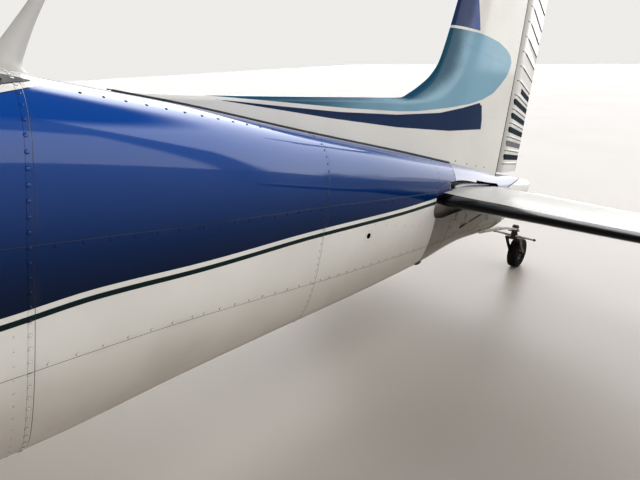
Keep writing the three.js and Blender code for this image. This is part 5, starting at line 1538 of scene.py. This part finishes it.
def cushion(name, corners, thickness, across_low, across_high):
    """A foam pad: a rounded block along a side-view centre line, drawn in at its channels, then blown up
    as cloth. corners are the two ends (station, height) of the centre line; every form is given a
    crown by the pressure."""
    (s0, z0), (s1, z1) = corners
    run = np.array([s1 - s0, z1 - z0], float)
    length = np.hypot(*run)
    along, out = run / length, np.array([-run[1], run[0]]) / length
    rows = []
    for y in np.linspace(across_low, across_high, 25):
        edge = min(y - across_low, across_high - y)
        swell = 0.62 + 0.38 * min(1.0, edge / 40) ** 0.5
        profile = rounded([(0, -thickness / 2 * swell), (length, -thickness / 2 * swell),
                           (length, thickness / 2 * swell), (0, thickness / 2 * swell)], 34, 7)
        shrunk = [(length / 2 + (a - length / 2) * (0.95 + 0.05 * swell), b) for a, b in profile]
        rows.append([[s0 + along[0] * a + out[0] * b, y, z0 + along[1] * a + out[1] * b] for a, b in shrunk])
    pad = solid(name, np.array(rows))
    fine = pad.modifiers.new("remesh", "REMESH")
    fine.mode = "VOXEL"
    fine.voxel_size = 0.006
    start = worked_out(pad)
    before = np.empty(len(start.vertices) * 3)
    start.vertices.foreach_get("co", before)
    cloth = pad.modifiers.new("cloth", "CLOTH")
    cloth.settings.use_pressure = True
    cloth.settings.uniform_pressure_force = 4.0
    cloth.settings.quality = 5
    cloth.settings.effector_weights.gravity = 0
    for frame_number in range(1, 21):
        bpy.context.scene.frame_set(frame_number)
    blown = bpy.data.meshes.new_from_object(pad.evaluated_get(bpy.context.evaluated_depsgraph_get()))
    pad.modifiers.clear()
    bpy.context.scene.frame_set(1)
    after = np.empty(len(before))
    blown.vertices.foreach_get("co", after)
    move = (after - before).reshape(-1, 3)
    far = np.linalg.norm(move, axis=1, keepdims=True)
    move *= np.minimum(1, 0.010 / np.maximum(far, 1e-9))
    start.vertices.foreach_set("co", (before.reshape(-1, 3) + move).ravel())
    start.update()
    place_mm = spots(pad).T
    share = ((place_mm[:, 0] - s0) * along[0] + (place_mm[:, 2] - z0) * along[1]) / length
    depth = (place_mm[:, 0] - s0) * out[0] + (place_mm[:, 2] - z0) * out[1]
    channel = np.abs((share * 5 + 0.5) % 1 - 0.5) / 5 * length
    press = 9 * np.exp(-(channel / 7) ** 2) * np.clip(np.abs(depth) / (thickness / 2), 0, 1)
    inner = (share > 0.08) & (share < 0.92)
    push = np.where(inner, -np.sign(depth) * press, 0)
    place_mm[:, 0] += push * out[0]
    place_mm[:, 2] += push * out[1]
    pad.data.vertices.foreach_set("co", parked(place_mm).ravel())
    pad.data.update()
    return pad


# Seats: front edge's station, middle across, width, and how far out the legs stand
SEATS = [("front_left", 770, 262, 430, 110), ("front_right", 770, -262, 430, 110),
         ("rear", 1570, 0, 840, 300)]
for label, station, across_at, width, legs in SEATS:
    low, high = across_at - width / 2 + 12, across_at + width / 2 - 12
    base = cushion(f"seat_base_{label}", ((station + 12, -122), (station + 430, -134)), 96, low, high)
    rest = cushion(f"seat_back_{label}", ((station + 476, -60), (station + 556, 418)), 66, low, high)
    for pad in (base, rest):
        finished(pad, chair_cloth, crease=70, replaces=[f"seat_{label}"] if pad is base else ())
    tubes = []
    for y in (across_at - legs, across_at + legs):
        tubes.append(bead([[station + 46, y, -384], [station + 70, y, -186], [station + 440, y, -190],
                           [station + 480, y, -170], [station + 500, y, -60], [station + 560, y, 330]],
                          10, 12))
        tubes.append(bead([[station + 400, y, -190], [station + 424, y, -384]], 10, 12))
    for s, z in ((station + 70, -186), (station + 440, -190), (station + 560, 330)):
        tubes.append(bead([[s, across_at - legs, z], [s, across_at + legs, z]], 9, 12))
    finished(joined(f"seat_frame_{label}", tubes), steel)


# Cowling: two aluminium half shells round the engine, with a lip rolled back at the front for each cooling
# inlet and an outlet below the firewall.
COWLING = [[-1010, 170, -285, 280, -40, 2.2], [-975, 205, -335, 335, -40, 2.3],
           [-880, 255, -395, 402, -40, 2.5], [-500, 328, -436, 462, -20, 2.9],
           [0, 375, -430, 500, 20, 3.2]]
cowl_table = [*COWLING[:-1], [60, 382, -432, 506, 22, 3.2]]


def cowl_colour(paint):
    over = paint.field("over_stripe")
    colour = paint.mix(over > 0.0175, WHITE, blue_with_painted_shade(paint))
    colour = paint.mix((over > -0.017) * (over < 0.0), colour, PINSTRIPE)
    return paint.mix(paint.field("inside").rise(0.02, 0.03), colour, (0.05, 0.06, 0.05))


def mark_cowl(made):
    """Writes how deep each point lies under the cowling's skin; the rolled front edge counts as outside."""
    s, y, z = spots(made)
    return mark(made, inside=np.where(s < -1004, 0,
                                      skin_depth(smooth(cowl_table, np.clip(s, -1010, 0)).T, y, z)[0]))


cowl_paint = enamel("cowl_enamel", cowl_colour, (-880,), (), sag=0.0008)
for name, low, high in (("cowl_upper", -19.6, 600), ("cowl_lower", -600, -20.4)):
    rows = np.concatenate([-1010 + 130 * (1 - np.cos(np.linspace(0, np.pi / 2, 22))),
                           np.arange(-860, -4, 20), [-0.6]])
    shell = body_solid(f"{name}_skin", cowl_table, rows, 0)
    cut(shell, body_solid("hollow", cowl_table, np.linspace(-1003, 40, 60), -7))
    for side in (1, -1):
        inlet = bead([[-1100, side * 208, 20], [-940, side * 186, 20]], 66, 40, 0.86)
        cut(shell, raw_piece("inlet", *inlet))
    cut(shell, raw_piece("shaft_hole", *bead([[-1100, 0, 0], [-900, 0, 0]], 116, 48)))
    cut(shell, side_prism([(-190, -600), (10, -600), (10, -380), (-190, -380)], -210, 210))
    carve(shell, "INTERSECT", side_prism([(-1200, low), (50, low), (50, high), (-1200, high)], -800, 800))
    finished(mark_cowl(mark_hull(shell)), cowl_paint, replaces=[name])
# Rolled lips of the two inlets
lips = []
for side in (1, -1):
    turn = np.linspace(0, 2 * np.pi, 49)
    ring = spread(-1004.0, side * 204 + 66 * np.cos(turn), 20 + 58 * np.sin(turn))
    lips.append(bead(ring, 5, 10))
finished(joined("inlet_lips", lips), cowl_paint, crease=60)
# Fasteners along the split of the cowling and round its rear edge
split = np.arange(-960, -20, 78.0)
fasteners = [rivets(*ring_places(-14, 82, 0.5, cowl_table), 6, 1.4)]
for side in (1, -1):
    for z in (-6, -34):
        across, _ = hull_side(split, np.full(len(split), z), cowl_table)
        fasteners.append(rivets(spread(split, side * across, z), [0, side, 0], 6, 1.4))
finished(joined("cowl_fasteners", fasteners, outward=False), steel)

# Engine: a plain block with its sump, four mounts, crankshaft and two tailpipes under the cowling
engine_metal = patchy("engine_metal", (0.05, 0.05, 0.055), (0.16, 0.16, 0.17), (20.0, 5.0), Metallic=0.6)
engine_metal.wears(Roughness=engine_metal.mottle(30.0).rise(0.3, 0.7, 0.4, 0.6))
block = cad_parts["engine_block"]
block.data.materials.clear()
block.data.materials.append(engine_metal.material)

# Propeller: three forged aluminium blades with black rear faces of enamel and white tips, in a steel hub
propeller_metal = Finish("propeller_enamel")
flat_black = (0.012, 0.012, 0.013)
reach = propeller_metal.field("reach")
bare = propeller_metal.mix(reach > 0.13, (0.5, 0.5, 0.5), flat_black)
propeller_metal.wears(Base_Color=propeller_metal.mix(reach > 0.94, bare, (0.75, 0.74, 0.7)),
                      Metallic=(reach < 0.13) * 1.0,
                      Roughness=propeller_metal.mottle(15.0).rise(0.3, 0.7, 0.32, 0.48))
PROP_STATION = -1120
BLADE = [[150, 86, 76, 62], [200, 104, 60, 57], [260, 128, 46, 50],
         [480, 158, 26, 34], [760, 146, 16, 24], [900, 124, 11.5, 21],
         [960, 108, 9, 19], [1000, 80, 6.5, 18.2], [1012, 58, 5, 18], [1015.5, 26, 3.5, 18]]
blades = [bead([[-1036, 0, 0], [-1062, 0, 0]], 91, 48), bead([[-1062, 0, 0], [-1158, 0, 0]], 78, 48)]
BLADE_TURNS = [math.radians(172) + k * 2 * math.pi / 3 for k in range(3)]
rows = np.concatenate([np.linspace(150, 960, 48), np.linspace(970, 1015.5, 14)])
chord, thick, twist = smooth(BLADE, rows).T[..., None]
turn = circle(28)
along, up = chord / 2 * np.cos(turn), thick / 2 * np.sin(turn) * (1 - 0.35 * np.cos(turn))
c, k = np.cos(np.radians(twist)), np.sin(np.radians(twist))
far, radius = np.array([(60, 40), (100, 42), (148, 40)], float).T[..., None]
shank = spread(radius * np.cos(turn), radius * np.sin(turn), far)
blade = spread(along * k + up * c, along * c - up * k, rows[:, None])
for angle in BLADE_TURNS:
    for grid in (shank, blade):
        ahead, y, z = axes(grid)
        blades.append(weave(spread(PROP_STATION - ahead, *swing(y, z, angle))))
propeller = joined("propeller_blades", blades)
_, y, z = spots(propeller)
mark(propeller, reach=np.hypot(y, z) / 1000)
finished(propeller, propeller_metal, "propeller", crease=40, replaces=["propeller"])

# Spinner: a spun aluminium cone, enamelled white with a blue band, screwed to its back plate
share = np.linspace(0.012, 1, 60) ** 2
spinner_rows = -1352 + 322 * share
profile = 168 * np.sqrt(1 - (1 - share) ** 1.5)
turn = circle(64)
profile = profile[:, None]
spinner = solid("spinner_skin",
                spread(spinner_rows[:, None], profile * np.cos(turn), profile * np.sin(turn)))
for angle in BLADE_TURNS:
    hub, out = np.array([PROP_STATION, 0, 0]), np.array([0, -math.sin(angle), math.cos(angle)])
    cut(spinner, raw_piece("blade_hole", *bead([hub + out * 100, hub + out * 210], 49, 32)))
spinner_paint = Finish("spinner_enamel", Coat_Weight=0.6, Coat_Roughness=0.03, Roughness=0.18)
station = spinner_paint.node("ShaderNodeSeparateXYZ", {0: spinner_paint.here()}, 0)
spinner_paint.wears(Base_Color=spinner_paint.mix((station > 3.72) * (station < 3.765), WHITE, BLUE))
finished(spinner, spinner_paint, "propeller", crease=40, replaces=["spinner"])


# Wings: riveted sheet over two spars and pressed ribs. The roots butt against the cabin roof, and the
# trailing edge is open from the flap to the aileron, where each hinged surface hangs on three plates.
WING = [[380, 660, 1626, 777, 1.5], [2540, 660, 1626, 842, 1.5], [5260, 830, 1130, 924, -1.2]]
WING_TIP = [[5260.5, 830, 1130, 924, -1.2], [5330, 858, 1082, 929, -1.2], [5400, 900, 1000, 934, -1.2],
            [5440, 955, 868, 940, -1.2], [5455, 995, 790, 942, -1.2], [5460, 1010, 760, 942, -1.2]]


def wing_profile(share):
    """Four-digit section: camber line and half thickness over the chord, 12 per cent thick, 2 per cent
    cambered."""
    half = 0.6 * (0.2969 * np.sqrt(share) - 0.126 * share - 0.3516
                  * share ** 2 + 0.2843 * share ** 3 - 0.1015 * share ** 4) + 0.0012 * share
    camber = np.where(share < 0.4, 0.125 * (0.8 * share - share ** 2),
                      0.02 / 0.36 * (0.2 + 0.8 * share - share ** 2))
    return camber, half


def wing_row(span):
    """Leading edge, chord, quarter-chord height and incidence at each span place, on straight lines."""
    table = np.array(WING, float)
    return np.array([np.interp(span, table[:, 0], table[:, i]) for i in range(1, 5)]).T


def wing_point(rows, span, share, offset):
    """Station, span and height of a place at a chord share and an offset square to the chord."""
    lead, chord, quarter, tilt = (rows[..., i, None] for i in range(4))
    c, k = np.cos(np.radians(tilt)), np.sin(np.radians(tilt))
    back, up = (share - 0.25) * chord, offset * chord
    s, z = lead + 0.25 * chord + back * c + up * k, quarter - back * k + up * c
    return spread(s, np.asarray(span, float)[:, None], z)


def wing_grid(rows, span, share, thin=1.0):
    """Sections from the upper trailing edge round the nose to the lower trailing edge, thinned towards
    the tip."""
    camber, half = wing_profile(share)
    upper = wing_point(rows, span, share, camber + half * thin)
    lower = wing_point(rows, span, share, camber - half * thin)
    return np.concatenate([upper[:, ::-1], lower[:, 1:]], 1)


def upright(name, plan, side, low, high):
    """A plan view (station, distance out) on one side, carried straight up from one height to another."""
    return solid(name, np.array([[(s, side * y, z) for s, y in plan] for z in (low, high)], float))


def mark_wing(made):
    """Writes span and station in metres for the wing's seams."""
    s, y, _ = spots(made)
    return mark(made, station=s / 1000, span=np.abs(y) / 1000)


def wing_colour(paint):
    """White with fine dark seams where the sheets lap on four ribs."""
    seam = nearest([(paint.field("span") - at).size() for at in (1.46, 2.54, 3.62, 4.70)])
    return paint.mix((seam < 0.0009) * 0.7, worn_white(paint, paint.mottle(2.2, 4.0)), (0.03, 0.03, 0.035))


wing_paint = enamel("wing_enamel", wing_colour, sag=0.0012)
tip_paint = Finish("tip_enamel", Coat_Weight=0.6, Coat_Roughness=0.04, Roughness=0.2)
span = tip_paint.field("span")
tip_paint.wears(Base_Color=tip_paint.mix(span > 5.285, tip_paint.mix(span > 5.275, WHITE, PINSTRIPE), BLUE))
share = (1 - np.cos(np.linspace(0, np.pi, 61))) / 2
# Flap and aileron: the chord share of their hinge line, and where each begins and ends along the span
HINGE_SHARE = np.array([0.79])
SURFACES = {"flap": (640, 2530), "aileron": (2550, 4960)}
BEAD_ROWS = {"flap": np.arange(700, 2500, 58.0), "aileron": np.arange(2610, 4940, 58.0)}
for label, side in SIDES:
    flip = np.array([1, side, 1])
    span = np.linspace(380, 5259.7, 140)
    wing = solid(f"wing_skin_{label}", wing_grid(wing_row(span), span, share) * flip)
    cut(wing, body_solid("cabin_room", HULL, np.arange(0, 3400, 24), 0.6))
    plates = []
    for kind, (low, high) in SURFACES.items():
        ends = np.array([low, high], float)
        row = wing_row(ends)
        camber, half = wing_profile(HINGE_SHARE)
        radius = (half * row[:, 1]) - 1
        hinge = wing_point(row, ends, HINGE_SHARE, camber)[:, 0]
        cove = [(hinge[0, 0] - radius[0] - 5, low - 5), (hinge[1, 0] - radius[1] - 5, high + 5),
                (3200, high + 5), (3200, low - 5)]
        cut(wing, upright("cove", cove, side, 400, 1200))
        # The hinged surface: a half-round nose on the hinge line, then the wing's own section to the
        # trailing edge, pressed with beads that run fore and aft
        places = np.unique(np.concatenate([[low, high],
                                           *[b + np.linspace(-10, 10, 9) for b in BEAD_ROWS[kind]]]))
        places = places[(places >= low) & (places <= high)]
        row = wing_row(places)
        radius = half * row[:, 1] - 1
        back = np.linspace(HINGE_SHARE[0], 1, 18)
        back_camber, back_half = wing_profile(back)
        fade = np.clip((back - 0.82) / 0.02, 0, 1) * np.clip((1 - back) / 0.012, 0, 1)
        ridge = beading(places, BEAD_ROWS[kind], 9, 3.2)[:, None] * fade[None] / row[:, 1, None]
        base = np.where(back < 0.795, (radius / row[:, 1])[:, None], back_half[None])
        upper = wing_point(row, places, back, back_camber + base + ridge)
        lower = wing_point(row, places, back, back_camber - base - ridge)
        turn = np.radians(np.linspace(90, 270, 15)[1:-1])
        centre = wing_point(row, places, HINGE_SHARE, camber)
        wide = radius[:, None]
        nose = spread(centre[..., 0] + wide * np.cos(turn), places[:, None],
                      centre[..., 2] + wide * np.sin(turn))
        ring = np.concatenate([upper[:, ::-1], nose, lower], 1) * flip
        surface = solid(f"{kind}_skin_{label}", ring)
        for part in (0.12, 0.5, 0.88):
            at = hinge[0] + (hinge[1] - hinge[0]) * part
            wide = radius[0] + (radius[-1] - radius[0]) * part
            slot = bead([(at + [0, -6, 0]) * flip, (at + [0, 6, 0]) * flip], wide + 8, 24)
            cut(surface, raw_piece("slot", *slot))
            plates.append(bead([(at + [0, -4, 0]) * flip, (at + [0, 4, 0]) * flip], 12, 20))
            plate = np.array([[(at[0] - k) * 1.0, (at[1] + e) * side, at[2] + h] for e in (-4, 4)
                              for k,
                              h in ((0, -9), (wide + 30, -9), (wide + 30, 9), (0, 9))]).reshape(2, 4, 3)
            plates.append(weave(plate))
        finished(mark_wing(surface), wing_paint, f"{kind}_{label}", crease=50, replaces=[f"{kind}_{label}"])
    pad = ((1180, 2600), (1260, 2600), (1260, 2680), (1180, 2680))
    carve(wing, "UNION", upright("pad", pad, side, 745, 800))
    finished(mark_wing(wing), wing_paint, replaces=[f"wing_{label}"])
    finished(joined(f"hinge_plates_{label}", plates), steel, crease=40)
    tip_span = np.unique(np.concatenate([np.linspace(5260.4, 5440, 24), np.linspace(5440, 5460, 8)]))
    tip_rows = smooth(WING_TIP, tip_span)
    shrink = np.clip((tip_span - 5300) / 160, 0, 1)[:, None] ** 4
    grid = wing_grid(tip_rows, tip_span, share, 1 - 0.75 * shrink) * flip
    finished(mark_wing(solid(f"wing_tip_skin_{label}", grid)), tip_paint,
             crease=60, replaces=[f"wing_tip_{label}"])

    # Rivets on the two spars and on each rib, upper and lower side
    heads, up = [], []
    for face in (1, -1):
        lines = [(np.arange(700, 5240, 46.0), np.full(99, 0.14)),
                 (np.arange(700, 5240, 46.0), np.full(99, 0.66))]
        lines += [(np.full(22, rib), np.linspace(0.03, 0.76, 22)) for rib in np.arange(920, 5200, 540.0)]
        for spans, shares in lines:
            row = wing_row(spans)
            camber, half = wing_profile(shares[:len(spans)])
            place = wing_point(row, spans, shares[:len(spans), None], (camber + face * half)[:, None])[:, 0]
            heads.append(place * flip)
            up.append(np.tile([0, 0, face], (len(place), 1)))
    points, faces = rivets(np.vstack(heads), np.vstack(up), 3, 1.2)
    finished(mark_wing(raw_piece(f"wing_rivets_{label}", points, faces, outward=False)), wing_paint)

# Wing struts: streamlined aluminium tube, 112 by 50 mm, with a fairing cuff at each end
strut_paint = Finish("strut_enamel", Coat_Weight=0.5, Coat_Roughness=0.05, Roughness=0.2)
strut_paint.wears(Base_Color=plain_white(strut_paint))
for label, side in SIDES:
    foot, head = np.array([470, side * 520, -440.0]), np.array([1010, side * 2560, 800.0])
    share = np.concatenate([np.linspace(0, 0.06, 12), np.linspace(0.08, 0.92, 30), np.linspace(0.94, 1, 12)])
    turn = circle(44)
    cuff = 1 + 0.16 * (np.exp(-(share / 0.03) ** 2) + np.exp(-((1 - share) / 0.03) ** 2))
    centre = foot + (head - foot) * share[:, None]
    thick = 25.3 * np.sin(turn) * (1 - 0.3 * np.cos(turn))
    ring = centre[:, None] + spread(56 * np.cos(turn), 0, thick) * cuff[:, None, None]
    strut = solid(f"strut_skin_{label}", ring)
    over_wing = ((300, 2200), (2400, 2200), (2400, 2900), (300, 2900))
    cut(strut, body_solid("cabin_room", HULL, np.arange(0, 1400, 20), 0.4),
        upright("over_wing", over_wing, side, 812, 1200))
    finished(strut, strut_paint, replaces=[f"strut_{label}"])


# Main gear: a leg of tapered spring steel each side, a stub axle, a cast wheel and a grooved tyre
AXLE_STATION, AXLE_HEIGHT = 417.5, -1112
for label, side in SIDES:
    table = [[0, 380, -400, 90, 15], [1, 620, -560, 78, 14], [2, 860, -790, 64, 12],
             [3, 1040, -1060, 52, 11], [3.4, 1062, -1150, 50, 11]]
    at = np.linspace(0, 3.4, 70)
    y, z, half, thick = smooth(table, at).T
    dy, dz = np.gradient(y), np.gradient(z)
    run = np.hypot(dy, dz)
    turn = circle(24)
    c, k = np.cos(turn), np.sin(turn)
    round_s, round_t = np.sign(c) * np.abs(c) ** 0.35, np.sign(k) * np.abs(k) ** 0.6
    ring = spread((430 - 12.5 * at / 3.4)[:, None] + half[:, None] * round_s,
                  side * (y[:, None] - (dz / run * thick)[:, None] * round_t),
                  z[:, None] + (dy / run * thick)[:, None] * round_t)
    leg = solid(f"leg_spring_{label}", ring)
    cut(leg, body_solid("belly_room", HULL, np.arange(0, 1400, 20), 0.4))
    finished(leg, strut_paint, crease=40, replaces=[f"gear_leg_{label}"])
    axle = [bead([[AXLE_STATION, side * inner, AXLE_HEIGHT], [AXLE_STATION, side * outer, AXLE_HEIGHT]],
                 radius, around)
            for inner, outer, radius,
            around in ((1050, 1252, 18.6, 32), (1062, 1112, 34, 32), (1252, 1259, 26, 6))]
    finished(joined(f"axle_{label}", axle), dark_steel, crease=30)
    middle = (AXLE_STATION, side * 1180, AXLE_HEIGHT)
    tread = turned(tyre_profile(222.2, 76, 80, (-0.52, -0.18, 0.18, 0.52), 6), 96, middle)
    finished(joined(f"tyre_tread_{label}", [tread]), tyre_rubber,
             f"wheel_{label}", crease=40, replaces=[f"tyre_{label}"])
    hub = turned([(-64, 21), (-64, 40), (-46, 47), (-42, 66), (-56, 70),
                  (-59, 75.6), (59, 75.6), (56, 70), (42, 66), (46, 47), (64, 40), (64, 21)], 64, middle)
    finished(joined(f"wheel_rim_{label}", [hub]), gear_steel, f"wheel_{label}",
             crease=30, replaces=[f"rim_{label}"])
